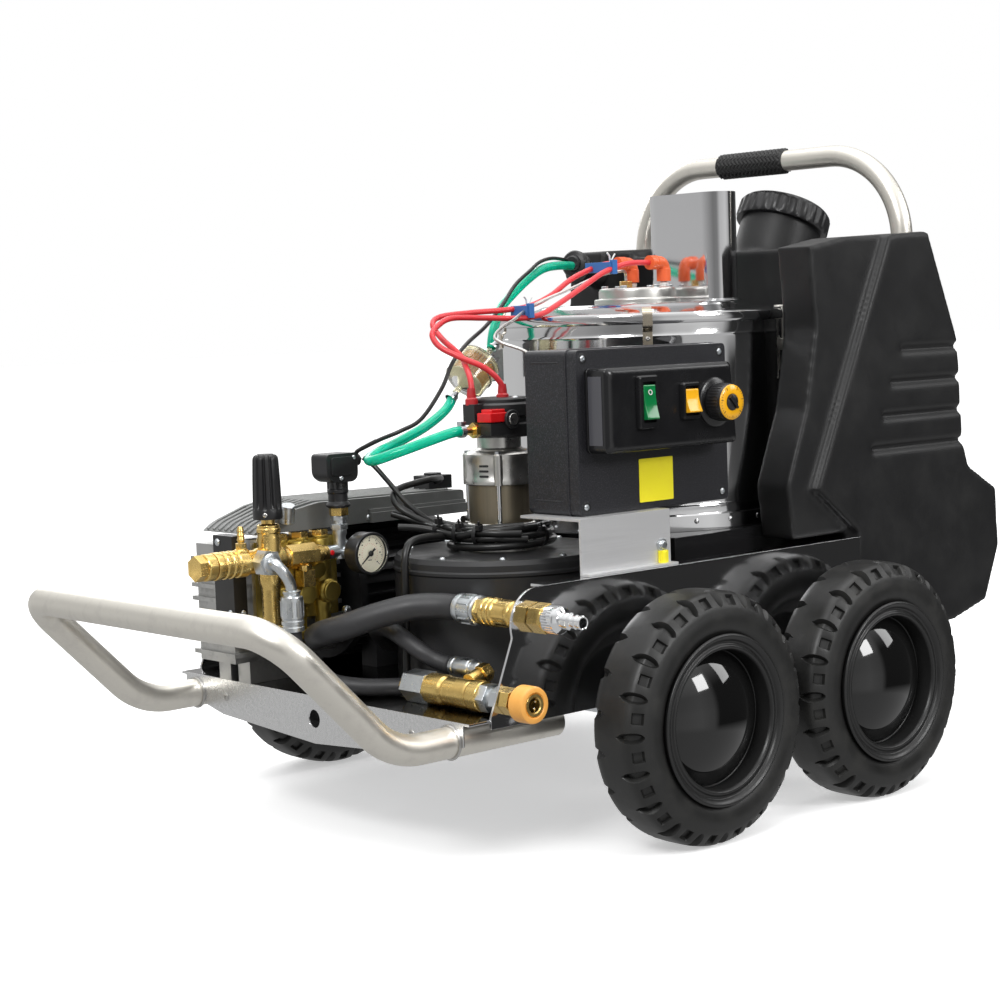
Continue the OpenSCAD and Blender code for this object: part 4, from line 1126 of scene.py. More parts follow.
def make_flue():
    """A flat oval duct of polished sheet, with a stepped collar at its foot."""
    x, y, r, half = 282, -13, 27, 40
    low, high, wall = 603.3, 745.3, 1.6
    ends = [(y + half, range(0, 181, 6)), (y - half, range(180, 360, 6))]
    outer = [(x + r, y - half)] + [
        (x + r * math.cos(math.radians(a)), middle + r * math.sin(math.radians(a)))
        for middle, angles in ends for a in angles
    ]

    def grown(by):
        """The oval with its width and length grown by an amount on each side."""
        return [(x + (px - x) * (1 + by / r), y + (py - y) * (1 + by / (r + half)))
                for px, py in outer]

    flue = Piece("flue_duct")
    walls = ((outer, low), (outer, high), (grown(-wall), high), (grown(-wall), low))
    flue.loft(POLISHED, [[(*p, z) for p in ring] for ring, z in walls], closed=True)
    flue.done(replaces=["chimney"])
    foot = Piece("flue_collar")
    for z, by in ((603.4, 5), (605.0, 2.2)):
        foot.prism(POLISHED, (0, 0, z), "z", grown(by), 1.5)
    foot.done(bevel=0.4)


def make_clips():
    """Two strap clips over the lid's rim."""
    clips = Piece("rim_clips")
    path = softened(
        [(BOILER_R + 0.5, 552), (BOILER_R + 0.5, 570), (189.4, 574), (189.4, 590),
         (188.0, 593.3), (177.5, 593.6), (175.5, 598)], 2.5, 4, closed=False)
    half, thick = 6, 0.8
    for a in (-132, 150):
        rings = []
        for i, (r, z) in enumerate(path):
            before = Vector(path[max(i - 1, 0)])
            after = Vector(path[min(i + 1, len(path) - 1)])
            along = (after - before).normalized()
            rings.append([
                on_wall(a, r + along.y * t, side, z - along.x * t)
                for side, t in ((-half, 0), (-half, thick), (half, thick), (half, 0))
            ])
        clips.loft(STRAP, rings)
        clips.screw(on_wall(a, BOILER_R + 1.2, 0, 560), outward(a), 3.2)
    clips.done(replaces=["lid_clips"], bevel=0.15)


def make_latch():
    """A toggle latch: its plate, the lever on its pin and the wire bail."""
    a, pin = -42, 545
    r = BOILER_R + 7
    side = (-outward(a)[1], outward(a)[0], 0)

    def wall_box(piece, low, high):
        """A box between two corners, each [from the axis, along the wall, up]."""
        across = [(low[1], low[2]), (high[1], low[2]), (high[1], high[2]), (low[1], high[2])]
        piece.loft(LATCH, [[on_wall(a, q, y, z) for y, z in across]
                           for q in (low[0], high[0])])

    plate = Piece("latch_plate")
    wall_box(plate, (BOILER_R + 0.2, -10, 512), (BOILER_R + 1.8, 10, 556))
    for y in (-10, 8):
        wall_box(plate, (BOILER_R + 1, y, 537), (BOILER_R + 11, y + 2, 552))
    for z in (518, 530):
        plate.screw(on_wall(a, BOILER_R + 1.8, 0, z), outward(a), 3)
    plate.done(bevel=0.4)
    lever = Piece("latch_tongue")
    lever.rod(LATCH, on_wall(a, r, -15, pin), side, 30, 2, 20)
    lever.rod(LATCH, on_wall(a, r, -6, pin), side, 12, 4, 24)
    wire, edge = 1.3, 4.8
    tongue = softened([(r + 3.2, pin), (r + 3.2, 512), (r + 6.5, 500), (r + 10, 499)],
                      5, 5, closed=False)
    for y in (-edge, edge):
        lever.sweep(LATCH, [on_wall(a, q, y, z) for q, z in tongue], wire, 10)
    lever.sweep(LATCH, [on_wall(a, r + 10, y, 499) for y in (-edge, 0, edge)], wire, 10)
    wall_box(lever, (r + 2.4, -edge, 514), (r + 3.6, edge, 546))
    lever.done("latch", ["latch_lever"])
    bail = Piece("latch_wire")
    for y in (-14.5, 11.5):
        bail.ring(LATCH, on_wall(a, r, y, pin), side, (2.1, 4.4), (0, 3), 24)
    bow = [(1.6, -13, 548), (1.6, -13, 594.3), (-8, -13, 594.3),
           (-8, 13, 594.3), (1.6, 13, 594.3), (1.6, 13, 548)]
    bow = [on_wall(a, r + q, y, z) for q, y, z in bow]
    bail.sweep(LATCH, filleted(bow, [2.5] * 4, 6), 1.35, 12)
    bail.done("bail", ["latch_bail"])


def make_burner_head():
    """The burner's flange, two insulators and two angled boots."""
    x, y, z = 186, 0, 603.3
    head = Piece("burner_flange")
    head.lathe(
        MOTOR_SILVER, (x, y, z), "z",
        [(0, -90), (36, -90), (36, 0), (55, 0), (56, 1), (56, 6), (55, 7), (50.5, 7.2),
         (50, 8), (50, 17), (48.5, 20), (45, 21), (24, 21), (22, 19.5), (0, 19.5)], 72,
    )
    for c, s in spokes(6, 20):
        head.hexagon(ZINC, (x + 42 * c, y + 42 * s, z + 20), "z", 4, 8)
    head.hexagon(BRASS, (184, 18, z + 19), "z", 11, 15)
    head.done(replaces=["burner_head"], bevel=0.5)
    for i, (px, py) in enumerate(((216, -20), (204, 26))):
        stand = Piece(f"electrode_{i + 1}")
        stand.lathe(WHITE, (px, py, z + 19), "z",
                    [(0, 0), (6, 0), (6, 3), (5, 4), (6, 5), (6, 8), (4, 9), (0, 9)], 24)
        stand.done()
        boot = Piece(f"boot_{i + 1}")
        path = filleted(
            [(px, py, z + 28.3), (px, py, 656), (px - 27, py, 656)], [8.4], 10
        )
        radii = [8.3 + (0.9 if k in (0, 1, len(path) - 1) else 0) for k in range(len(path))]
        boot.sweep(BOOT, path, radii, 32)
        for d in (5, 9.5, 14):
            boot.lathe(BOOT, (px - 10 - d, py, 656), "x",
                       [(8.2, -1.3), (9.2, -0.8), (9.2, 0.8), (8.2, 1.3)], 32)
        boot.done(replaces=["ignition_boots"])


make_boiler()
make_flue()
make_clips()
make_latch()
make_burner_head()

# ---------------------------------------------------------------- burner

MOTOR_LOW = 320.3


def make_fan_case():
    """The fan's drum with its air duct, and the wheel inside."""
    case = Piece("fan_drum")
    r = 129
    wall = [
        (8, 168.4), (r, 168.4), (r, 172), (r - 0.4, 173), (r - 0.4, 300),
        (r + 1.6, 302), (r + 1.6, 305), (r - 0.2, 307), (r - 0.2, 314), (r - 4, 319.4),
        (r - 8, 320), (8, 320), (8, 316), (r - 5, 316), (r - 5, 172), (8, 172),
    ]
    case.lathe(MOTOR_BLACK, (FAN_X, FAN_Y, 0), "z", wall, 160, closed=True)
    case.block(MOTOR_BLACK, (FAN_X + 100, -90, 190), (36.5, -10, 286))
    for c, s in spokes(10, 12):
        case.screw((FAN_X + 117 * c, FAN_Y + 117 * s, 320), UP, 4, ZINC, 2.4)
    case.done(replaces=["fan_housing"])
    dressed("fan_wheel", STEEL, 0, body="fan")


def make_burner_motor():
    """The burner's motor: cast ends, a laminated middle and four tie bolts."""
    motor = Piece("burner_drive")
    z = MOTOR_LOW
    foot = (FAN_X, FAN_Y, z)
    motor.lathe(
        MOTOR_SILVER, foot, "z",
        [(7, 0), (46, 0), (46, 3), (44, 4), (36, 5), (34, 8), (34, 20), (40, 23),
         (41, 24), (41, 31), (40, 32), (36, 32), (7, 32)], 96, closed=True,
    )
    motor.ring(LAMINATE, foot, "z", (7, 38), (32, 77.5), 96)
    motor.lathe(
        MOTOR_SILVER, foot, "z",
        [(7, 77), (40.5, 77), (41.4, 78), (41.4, 83), (40.2, 85), (40.2, 106),
         (41.2, 108), (41.2, 113), (38, 116), (28, 118), (26, 120), (26, 132), (7, 132)],
        96, closed=True,
    )
    for c, s in spokes(4, 45):
        px, py = FAN_X + 38 * c, FAN_Y + 38 * s
        motor.ring(MOTOR_SILVER, (px, py, z), "z", (0, 5.6), (23, 33), 24)
        motor.rod(CHROME, (px, py, z + 32), "z", 46, 3, 20)
        motor.lathe(MOTOR_SILVER, (px, py, z), "z",
                    [(0, 77), (5.8, 77), (5.8, 112), (4.5, 114), (0, 114)], 24)
        motor.hexagon(ZINC, (px, py, z + 113.5), "z", 3.4, 7)
    for a in (20, 100, 200, 290):
        out = outward(a)
        for h in (88, 94, 100):
            motor.prism(MOTOR_BLACK, (FAN_X + 39.6 * out[0], FAN_Y + 39.6 * out[1], z + h),
                        out, round_box(12, 2.6, 1.2), 0.9)
    motor.done(replaces=["burner_motor"])


def make_fuel_pump():
    """The fuel pump on the motor, its red plug, inlet and the leads' sleeves."""
    x, y, z = FAN_X, FAN_Y, 452.6
    pump = Piece("oil_pump")
    pump.lathe(
        MOTOR_BLACK, (x + 4, y, z), "z",
        [(0, 0), (36, 0), (38, 2), (38, 15), (35.5, 17), (35.5, 23), (38, 25), (38, 38),
         (36, 40), (34, 40.5), (34, 44), (32, 46), (0, 46)], 72,
    )
    pump.block(MOTOR_BLACK, (x - 44, y - 36, z + 4), (x - 4, y - 14, z + 18))
    pump.block(MOTOR_BLACK, (x - 46, y - 10, z + 16), (x - 26, y + 10, z + 40))
    pump.rod(MOTOR_BLACK, (x - 16, y - 40, z + 22), "-y", 4, 11, 36)
    pump.rod(STEEL, (x - 16, y - 43.6, z + 22), "-y", 2, 7, 36)
    for c, s in spokes(3, 30):
        pump.screw((x + 4 + 26 * c, y + 26 * s, z + 46), UP, 4, ZINC)
    pump.done(replaces=["fuel_pump"], bevel=0.8)
    plug = Piece("red_plug")
    plug.block(RED, (x - 45, y - 37, z + 19), (x - 15, y - 13, z + 30))
    plug.block(RED, (x - 41, y - 34, z + 29), (x - 19, y - 16, z + 34))
    plug.done(bevel=1.2)
    inlet = Piece("oil_inlet")
    inlet.rod(BRASS, (x - 64, y - 10, z + 10), "x", 34, 5, 28)
    inlet.hexagon(BRASS, (x - 50, y - 10, z + 10), "x", 8, 16)
    inlet.hexagon(ZINC, (x - 41, y - 10, z + 10), "x", 6, 14, 15)
    inlet.ring(ZINC, (x - 70, y - 10, z + 10), "x", (6.2, 7.4), (0, 7), 36)
    inlet.block(ZINC, (x - 70, y - 14, z + 17), (x - 63, y - 6, z + 21.5))
    inlet.done(bevel=0.3)
    for i, spot in enumerate(((-175, -78, 491), (-128, -80, 494))):
        sleeve = Piece(f"lead_boot_{i + 1}")
        sleeve.lathe(LEAD_BOOT, spot, (0.05, 0.06, 1),
                     [(0, 0), (7.5, 0), (7.5, 7), (5.5, 9), (5.5, 12), (4.6, 20), (0, 20)], 24)
        sleeve.done()


def make_filter():
    """The translucent fuel filter with its pleated core, hose clamps and bracket."""
    low, high = Vector((-99, 40, 501)), Vector((-38, 40, 552))
    axis = (high - low).normalized()
    length = (high - low).length
    middle = length / 2
    shell = Piece("filter_shell")
    shell.lathe(
        CLEAR, low, axis,
        [(3.4, 0), (4, 0), (4, 10), (8, 13), (25, 19), (27, 21), (27, middle - 2),
         (28.4, middle - 1.2), (28.4, middle + 1.2), (27, middle + 2),
         (27, length - 21), (25, length - 19), (8, length - 13), (4, length - 10),
         (4, length), (3.4, length), (3.4, length - 9), (24, length - 20.5),
         (25.4, length - 22), (25.4, 22), (24, 20.5), (3.4, 9)], 64, closed=True,
    )
    shell.done(replaces=["fuel_filter"])
    core = Piece("filter_paper")
    star = [((22.5 if k % 2 else 17) * c, (22.5 if k % 2 else 17) * s)
            for k, (c, s) in enumerate(spokes(72))]
    core.prism(PLEATS, low + axis * 24, axis, star, length - 48)
    core.rod(WHITE, low + axis * 22.5, axis, 2, 23.5, 48)
    core.rod(WHITE, low + axis * (length - 24.5), axis, 2, 23.5, 48)
    core.done(angle=20)
    ends = Piece("filter_clamps")
    for at in (low - axis * 7, high + axis * 7):
        ends.ring(ZINC, at, axis, (6.3, 7.3), (-3.5, 3.5), 32)
        ends.rod(ZINC, at + Vector((0, -8, 2)), (0.3, -0.2, 1), 5, 2.6, 16)
    ends.block(ZINC, (-38, 52, 512), (-6, 54, 552))
    ends.done(bevel=0.2)


make_fan_case()
make_burner_motor()
make_fuel_pump()
make_filter()

# ---------------------------------------------------------------- motor and pump


JUNCTION_X = -396.9  # the black junction cover's faces lie in front of this


def make_motor():
    """The finned motor, its rotor and the cast cover with slots."""
    dressed("motor_body", MOTOR_BLACK, 0.3)
    dressed("motor_rotor", STEEL, 0.3, body="rotor")
    cover = Piece("motor_lid")
    outline = [(-387, 350), (-61, 350), (-61, 378), (-290, 381), (-330, 374), (-372, 360)]
    cover.slab(COVER_GREY, softened(outline, 5, 3), 74, 104)
    cover.block(COVER_GREY, (-215, 66, 350), (-61, 75, 362))
    cover.block(COVER_GREY, (-215, 70.5, 362), (-61, 75, 366))
    for k in range(8):
        y = 84 + k * 12.2
        path = [(-384, y, 353), (-370, y, 361.6), (-330, y, 375.2), (-292, y, 381.6),
                (-80, y, 379.2)]
        cover.sweep(COVER_GREY, path, 1.9, 8)
    for x in (-376, -215, -80):
        cover.screw((x, 73.6, 356), (0, -1, 0), 4, ZINC, 2.4)
    cover.rod(ZINC, (-342, 66, 362), (-0.1, -0.3, 1), 22, 8.5, 28)
    cover.done(replaces=["motor_cover"], bevel=1.2)


def make_crankcase():
    """The pump's crankcase with the black junction cover."""
    dressed("pump_crankcase", CAST, 0.8,
            lambda centre: PLASTIC if centre.x < JUNCTION_X else None)
    trim = Piece("crankcase_trim")
    for z in (262, 344):
        trim.screw((-415.2, 81 + (z - 254) / 4, z), (-1, 0, 0), 4.4, ZINC, 2.2)
        trim.screw((-403, 74.8, z), (0, -1, 0), 3.4, ZINC, 2)
    trim.rod(CAST, (-366, 104, 246), "-y", 6, 9, 32)
    trim.done()


def make_pump_head():
    """The forged head: three valve columns with round caps and a row of plugs."""
    head = Piece("forged_head")
    outline = round_box(112, 26, 6)
    head.prism(OLD_BRASS, (-318, 89, 246), "z", outline, 94)
    for x in (-360, -324, -288):
        head.lathe(
            OLD_BRASS, (x, 76, 222), "z",
            [(0, 0), (11, 0), (12, 1.2), (12, 9), (11, 10.5), (9.6, 13), (9.6, 28),
             (11, 34), (12, 40), (12, 110), (10, 116), (0, 116)], 40,
        )
        head.lathe(
            OLD_BRASS, (x, 62, 276), "-y",
            [(0, -14), (14.5, -14), (14.5, 2), (13, 4), (12, 4.6), (12, 7.4), (11, 8.2),
             (0, 8.6)], 44,
        )
    for x in (-342, -307):
        head.lathe(
            OLD_BRASS, (x, 62, 304), "-y",
            [(0, -12), (13, -12), (13, 1), (11.6, 3), (11, 3.6), (11, 6), (10, 6.8),
             (0, 7)], 40,
        )
        head.rod(OLD_BRASS, (x, 72, 268), "z", 40, 9.6, 32)
    for x in (-344, -314, -284):
        head.lathe(OLD_BRASS, (x, 84, 338), "z",
                   [(0, 0), (12, 0), (12, 3), (10.5, 3.6), (0, 3.6)], 36)
        head.hexagon(BRASS, (x, 84, 341), "z", 7, 20, 12)
    head.done(replaces=["pump_head"], bevel=0.7)
    bolts = Piece("head_bolts")
    for z in (250, 330):
        for x in (-372, -264):
            bolts.rod(ZINC, (x, 64, z), "-y", 6.5, 5.4, 24)
            bolts.hexagon(ZINC, (x, 60, z), "-y", 3.4, 7.5)
    bolts.block(CAST, (-379, 90, 240), (-257, 103, 344))
    bolts.done(bevel=0.6)


ROW_Y = 45
ROW_Z = 324
KNOB_X = -384
TEE_X = -282


def on_row(x):
    """A point on the axis of the unloader's row of fittings."""
    return (x, ROW_Y, ROW_Z)


def make_unloader():
    """The unloader valve along X, with the knob's upright and a small plug on top."""
    body = Piece("unloader_body")
    for x, length, flats, turn in ((-487, 11, 26, 0), (-474, 10, 27, 12), (-360, 40, 25, 0)):
        body.hexagon(BRASS, on_row(x), "x", length, flats, turn)
    body.lathe(BRASS, on_row(-476), "x",
               [(0, 0), (14.2, 0), (15.4, 1.5), (15.4, 12), (13.5, 13), (0, 13)], 48)
    body.lathe(
        BRASS, on_row(-463), "x",
        [(0, 0), (15.5, 0), (16, 1), (16, 8), (15, 9), (15, 12), (16, 13), (16, 17),
         (15, 18), (15, 21), (16, 22), (16, 26), (14.8, 27), (14.8, 30), (16, 31),
         (16, 43), (14, 46), (13.6, 56), (15, 60), (15.6, 66), (15.6, 92), (13, 97),
         (10, 99), (0, 99)], 56,
    )
    body.lathe(
        BRASS, (KNOB_X, ROW_Y, 245), "z",
        [(0, 0), (12.4, 0), (12.4, 2), (11, 3.4), (11, 44), (12, 48), (13.6, 53), (14, 58),
         (14, 104), (13, 106), (13, 110), (14, 111), (14, 115), (13, 116), (13, 119),
         (11, 120.5), (7.95, 121), (7.95, 152), (0, 152)], 48,
    )
    body.rod(BRASS, (KNOB_X, ROW_Y - 4, ROW_Z), "y", 22, 14, 36)
    body.ring(BRASS, on_row(-366), "x", (0, 11.5), (0, 8), 36)
    body.lathe(BRASS, on_row(-321), "x",
               [(0, 0), (11, 0), (11, 9), (9, 11), (9, 18), (0, 18)], 36)
    body.hexagon(BRASS, (-423, ROW_Y, 338), "z", 9, 12)
    body.lathe(BRASS, (-423, ROW_Y, 336), "z",
               [(0, 0), (9, 0), (9, 3), (6, 5), (0, 5)], 32)
    body.lathe(BRASS, (-423, ROW_Y, 346), "z",
               [(0, 0), (3.4, 0), (3.4, 3), (4.6, 4.5), (3.2, 9), (4.6, 9.6), (3.1, 14),
                (4.4, 14.6), (2.8, 20), (0, 20)], 24)
    body.rod(BRASS, (-334, ROW_Y, 306), "z", 10, 8, 28)
    body.block(BRASS, (-343, ROW_Y - 8.5, 288), (-326, ROW_Y + 8, 307))
    body.hexagon(BRASS, (-336, ROW_Y - 3, 306), "z", 7, 11, 8)
    body.done(replaces=["unloader_valve"], bevel=0.5)


def make_elbow():
    """The plated elbow from the unloader down to the pump hose."""
    nut = Piece("elbow_fitting")
    nut.hexagon(ZINC, (-404, 14, ROW_Z), "y", 17, 27, 8)
    nut.lathe(ZINC, (-404, 14.5, ROW_Z), "-y",
              [(0, 0), (11.5, 0), (11.5, 1.4), (8, 2.4), (0, 2.4)], 40)
    bent = catmull([(-404, 16, 324), (-404, 6, 323), (-398, 0, 314), (-388, 2, 300),
                    (-385, 4, 286)], 6)
    nut.sweep(ZINC, bent, 6.6, 28)
    nut.lathe(
        ZINC, (-385, 4, 245), "z",
        [(10, 0), (12.6, 0), (13, 0.8), (13, 5), (12.2, 5.8), (12.2, 7.6), (13, 8.4),
         (13, 12), (12.2, 12.8), (12.2, 14.6), (13, 15.4), (13, 38), (12, 40), (9.4, 41),
         (9.4, 42.6), (10.4, 43.4), (10.4, 46), (8.4, 47), (7, 47), (0, 47), (0, 0)], 56,
    )
    for c, s in spokes(14):
        px, py = -385 + 12.6 * c, 4 + 12.6 * s
        nut.block(ZINC, (px - 0.7, py - 0.7, 262), (px + 0.7, py + 0.7, 280))
    nut.hexagon(ZINC, on_row(-366), "x", 5, 20, 5)
    nut.done(bevel=0.4)


def make_regulator():
    """The fluted knob on the unloader's upright."""
    knob = Piece("regulator_grip")
    flutes, steps = 12, 12
    rows = [(0, 16.6, 0), (2, 17.2, 0), (10, 17.2, 0), (12, 16.4, 0.1), (13.5, 15.4, 1),
            (20, 15.3, 1), (45, 14.6, 1), (68, 13.6, 1), (71, 13.2, 0.8), (73.2, 12.0, 0.3),
            (74, 10.5, 0)]
    dips = [max(0.0, math.cos((k % steps / steps - 0.5) * 2 * math.pi)) ** 0.7
            for k in range(flutes * steps)]
    rings = []
    for h, r, deep in rows:
        radii = [r + 1.3 * deep - 2.6 * deep * dip for dip in dips]
        rings.append([(KNOB_X + q * c, ROW_Y + q * s, 371.3 + h)
                      for q, (c, s) in zip(radii, spokes(flutes * steps))])
    knob.loft(PLASTIC, rings)
    knob.lathe(PLASTIC, (KNOB_X, ROW_Y, 445.2), "z",
               [(0, 0), (9.5, 0), (9, 0.8), (0, 1.1)], 40)
    knob.screw((KNOB_X - 12.4, ROW_Y - 12.2, 377), (-0.71, -0.70, 0), 2.6, STEEL, 1)
    knob.done("regulator_knob", ["unloader_knob"], angle=50)


def make_pressure_switch():
    """The tee, the pressure switch on it and its cable plug."""
    fitting = Piece("tee_fitting")
    fitting.rod(ZINC, on_row(-303), "x", 54, 8, 32)
    fitting.hexagon(ZINC, on_row(-262), "x", 10, 16)
    fitting.lathe(ZINC, on_row(TEE_X), "z",
                  [(0, -9), (8.5, -9), (9, -7), (8.2, 4), (7.4, 8), (7.4, 18), (8.6, 20),
                   (8.6, 26), (0, 26)], 36)
    fitting.hexagon(ZINC, (TEE_X, ROW_Y, 350), "z", 6, 19)
    fitting.rod(ZINC, (TEE_X, ROW_Y, 356), "z", 7, 8, 28)
    fitting.hexagon(ZINC, (TEE_X, ROW_Y, 361), "z", 5, 18, 15)
    fitting.hexagon(BRASS, (TEE_X, ROW_Y, 366.5), "z", 9, 21, 6)
    fitting.rod(RED, (-300, ROW_Y - 6.8, ROW_Z), "-y", 2.6, 3.2, 20)
    fitting.done(replaces=["pressure_switch"], bevel=0.4)
    switch = Piece("switch_plug")
    switch.lathe(
        PLASTIC, (TEE_X, ROW_Y, 0), "z",
        [(0, 375.5), (12.6, 375.5), (14.2, 377), (14.6, 379), (13, 381.5), (11.6, 383),
         (11.6, 392), (12.6, 393.5), (12.6, 397), (10.4, 398), (9.6, 406), (0, 407)], 44,
    )
    switch.block(PLASTIC, (TEE_X - 9, ROW_Y - 9, 396), (TEE_X + 9, ROW_Y + 9, 409))
    outline = softened(
        [(TEE_X - 26, 414), (TEE_X - 16, 406), (TEE_X + 14, 406), (TEE_X + 20, 412),
         (TEE_X + 20, 440), (TEE_X - 26, 440)], 6, 5)
    switch.slab(PLASTIC, outline, ROW_Y - 15, 30)
    switch.slab(PLASTIC, round_box_at(TEE_X - 3, 425, 34, 22, 5), ROW_Y - 16.4, 2)
    switch.rod(PLASTIC, (TEE_X + 18, ROW_Y, 430), "x", 14, 7, 28)
    switch.hexagon(PLASTIC, (TEE_X + 22, ROW_Y, 430), "x", 6, 16)
    switch.done(bevel=1.2)
    trim = Piece("plug_screws")
    for x, z in ((TEE_X - 5, 411), (TEE_X + 14, 434)):
        trim.screw((x, ROW_Y - 15, z), (0, -1, 0), 3, ZINC, 1.6)
    trim.done()


def make_gauge():
    """The pressure gauge: case, dial, needle and glass."""
    x, z, face = -280, 324, -14
    gauge = Piece("gauge_case")
    gauge.lathe(
        PLASTIC, (x, face, z), "y",
        [(0, 6), (22.4, 6), (22.4, 1), (23, 0), (24.4, 0), (25.2, 1), (25.2, 3.4),
         (24.4, 4.2), (24.4, 22), (22.6, 25), (14, 26), (0, 26)], 72,
    )
    gauge.rod(ZINC, (x, face + 25, z), "y", 25, 6, 24)
    gauge.hexagon(ZINC, (x, face + 30, z), "y", 9, 14)
    gauge.done(replaces=["pressure_gauge"])
    dial = Piece("gauge_dial")
    at = face + 5.5
    dial.ring(CREAM, (x, at, z), "-y", (0, 22.3), (-0.4, 0), 72)
    dial.ring(CHROME, (x, face + 0.8, z), "-y", (21.6, 22.6), (0, 0.9), 72)
    for k in range(41):
        a = math.radians(-45 + 270 * k / 40)
        length, wide = (3.4, 0.36) if k % 5 == 0 else (1.7, 0.2)
        place_tick(dial, INK_AND_SHADE, x, at, z, a, 19.8, 19.8 - length, wide)
    for k in range(21):
        a = math.radians(-45 + 270 * k / 20)
        place_tick(dial, RED_INK, x, at, z, a, 12.2, 12.2 - (1.9 if k % 4 == 0 else 1.1), 0.2)
    for k in range(7):
        a = math.radians(-45 + 270 * k / 6)
        px, pz = x - 15 * math.cos(a), z + 15 * math.sin(a)
        dial.block(INK_AND_SHADE, (px - 0.9, at - 0.25, pz - 0.7), (px + 0.9, at - 0.02, pz + 0.7))
    dial.block(INK_AND_SHADE, (x - 2.6, at - 0.25, z - 8.2), (x + 2.6, at - 0.02, z - 7.4))
    dial.done(angle=30)
    needle = Piece("gauge_hand")
    a = math.radians(40)
    d, n = Vector((math.cos(a), 0, math.sin(a))), Vector((-math.sin(a), 0, math.cos(a)))
    o = Vector((x, face + 2.6, z))
    flat = [o - d * 17 + n * 0.25, o - d * 3 + n * 1.0, o + d * 5 + n * 1.0,
            o + d * 8 + n * 1.5, o + d * 8 - n * 1.5, o + d * 5 - n * 1.0,
            o - d * 3 - n * 1.0, o - d * 17 - n * 0.25]
    back = Vector((0, 0.8, 0))
    needle.loft(INK_AND_SHADE, [flat, [p + back for p in flat]])
    needle.lathe(INK_AND_SHADE, (x, face + 3.4, z), "-y",
                 [(1.55, 0), (3.4, 0), (3.4, 1), (2.6, 1.5), (0, 1.5)], 28)
    needle.done("needle", ["gauge_needle"])
    glass = Piece("gauge_window")
    glass.lathe(LENS, (x, face + 1.4, z), "-y",
                [(0, 0), (22.2, 0), (22.2, 0.7), (0, 0.9)], 48)
    glass.done()


def place_tick(piece, material, x, y, z, a, far, near, wide):
    """One radial mark of a dial, from one radius to another."""
    d = Vector((-math.cos(a), 0, math.sin(a)))
    n = Vector((math.sin(a), 0, math.cos(a))) * wide
    o = Vector((x, y - 0.12, z))
    flat = [o + d * near - n, o + d * far - n, o + d * far + n, o + d * near + n]
    piece.shape(material, flat, [(0, 1, 2, 3)])


make_motor()
make_crankcase()
make_pump_head()
make_unloader()
make_elbow()
make_regulator()
make_pressure_switch()
make_gauge()

# ---------------------------------------------------------------- controls

BOX_LOW = (-162, 367)
BOX_SIZE = (248, 186)
BOX_FRONT = -240
CONSOLE_Y = -276


def make_box():
    """The switch box, its lid with four screws and a plain yellow sticker."""
    dressed("control_box", BOX, 0.8)
    lid = Piece("box_front")
    cx, cz = BOX_LOW[0] + BOX_SIZE[0] / 2, BOX_LOW[1] + BOX_SIZE[1] / 2
    lid.slab(BOX, round_box_at(cx, cz, BOX_SIZE[0], BOX_SIZE[1], 7), BOX_FRONT, 17.4)
    lid.slab(BOX, round_box_at(cx, cz, BOX_SIZE[0] + 2.4, BOX_SIZE[1] + 2.4, 8), -225, 2.4)
    for z in (382, 538):
        lid.block(BOX, (BOX_LOW[0] - 0.8, -212, z), (BOX_LOW[0] + 1, -168, z + 2))
    lid.done(replaces=["box_lid"], bevel=1.4, segments=3)
    trim = Piece("box_trim")
    for x in (BOX_LOW[0] + 11, BOX_LOW[0] + BOX_SIZE[0] - 11):
        for z in (BOX_LOW[1] + 10, BOX_LOW[1] + BOX_SIZE[1] - 10):
            trim.lathe(PLASTIC, (x, BOX_FRONT, z), "-y",
                       [(0, 0.3), (5.2, 0.3), (6.4, 0), (6.4, -0.5)], 32)
            trim.screw((x, BOX_FRONT - 0.2, z), (0, -1, 0), 3.7, ZINC, 1.8)
    trim.slab(SAFETY_YELLOW, round_box_at(-38, 400, 56, 50, 1.5), BOX_FRONT - 0.5, 0.6)
    trim.done()


def make_console():
    """The raised console with the frames of the switches and the dial."""
    console = Piece("console_block")
    base = softened([(-149, 437), (67, 437), (59, 532), (-149, 532)], 6, 4)
    inner = softened([(-139, 446), (57, 446), (50, 524), (-139, 524)], 6, 4)
    between = [(a[0] * 0.6 + b[0] * 0.4, a[1] * 0.6 + b[1] * 0.4)
               for a, b in zip(base, inner)]
    console.slab(CONSOLE, base, BOX_FRONT - 4, 4.2)
    levels = ((base, BOX_FRONT - 4), (base, CONSOLE_Y + 5), (between, CONSOLE_Y + 1.2),
              (inner, CONSOLE_Y))
    console.loft(CONSOLE, [[(x, y, z) for x, z in ring] for ring, y in levels])
    console.done(replaces=["switch_console"], bevel=1.2, segments=3)
    # A thin lighter strip on the console's left side: painted sheen.
    sheen_strip = Piece("console_side_sheen")
    sheen_strip.block(SIDE_SHEEN, (-149.8, CONSOLE_Y + 9, 446), (-148.4, BOX_FRONT - 6, 523))
    sheen_strip.done(bevel=0.4)
    frames = Piece("switch_frames")
    for x, z, w, h, hole_w, hole_h in (
        (-89, 492, 30, 60, 20, 46), (-19, 490, 28, 42, 22, 34),
    ):
        outer = round_box_at(x, z, w, h, 3)
        hole = round_box_at(x, z, hole_w, hole_h, 1.2)
        levels = [(outer, 2, 1), (outer, -5, 1), (outer, -7, 0.94), (hole, -7, 1), (hole, 6, 1)]
        frames.loft(
            CONSOLE,
            [[(x + (px - x) * grow, CONSOLE_Y + y, z + (pz - z) * grow) for px, pz in ring]
             for ring, y, grow in levels], caps=False,
        )
        back = [(px, CONSOLE_Y + 6, pz) for px, pz in hole]
        frames.shape(INK_AND_SHADE, back, [tuple(range(len(hole)))])
    frames.lathe(CONSOLE, (26, CONSOLE_Y + 1, 486), "-y",
                 [(0, 0), (29, 0), (28.4, 3), (26, 4.4), (6, 4.4), (6, 2), (0, 2)], 72)
    frames.done(angle=40)


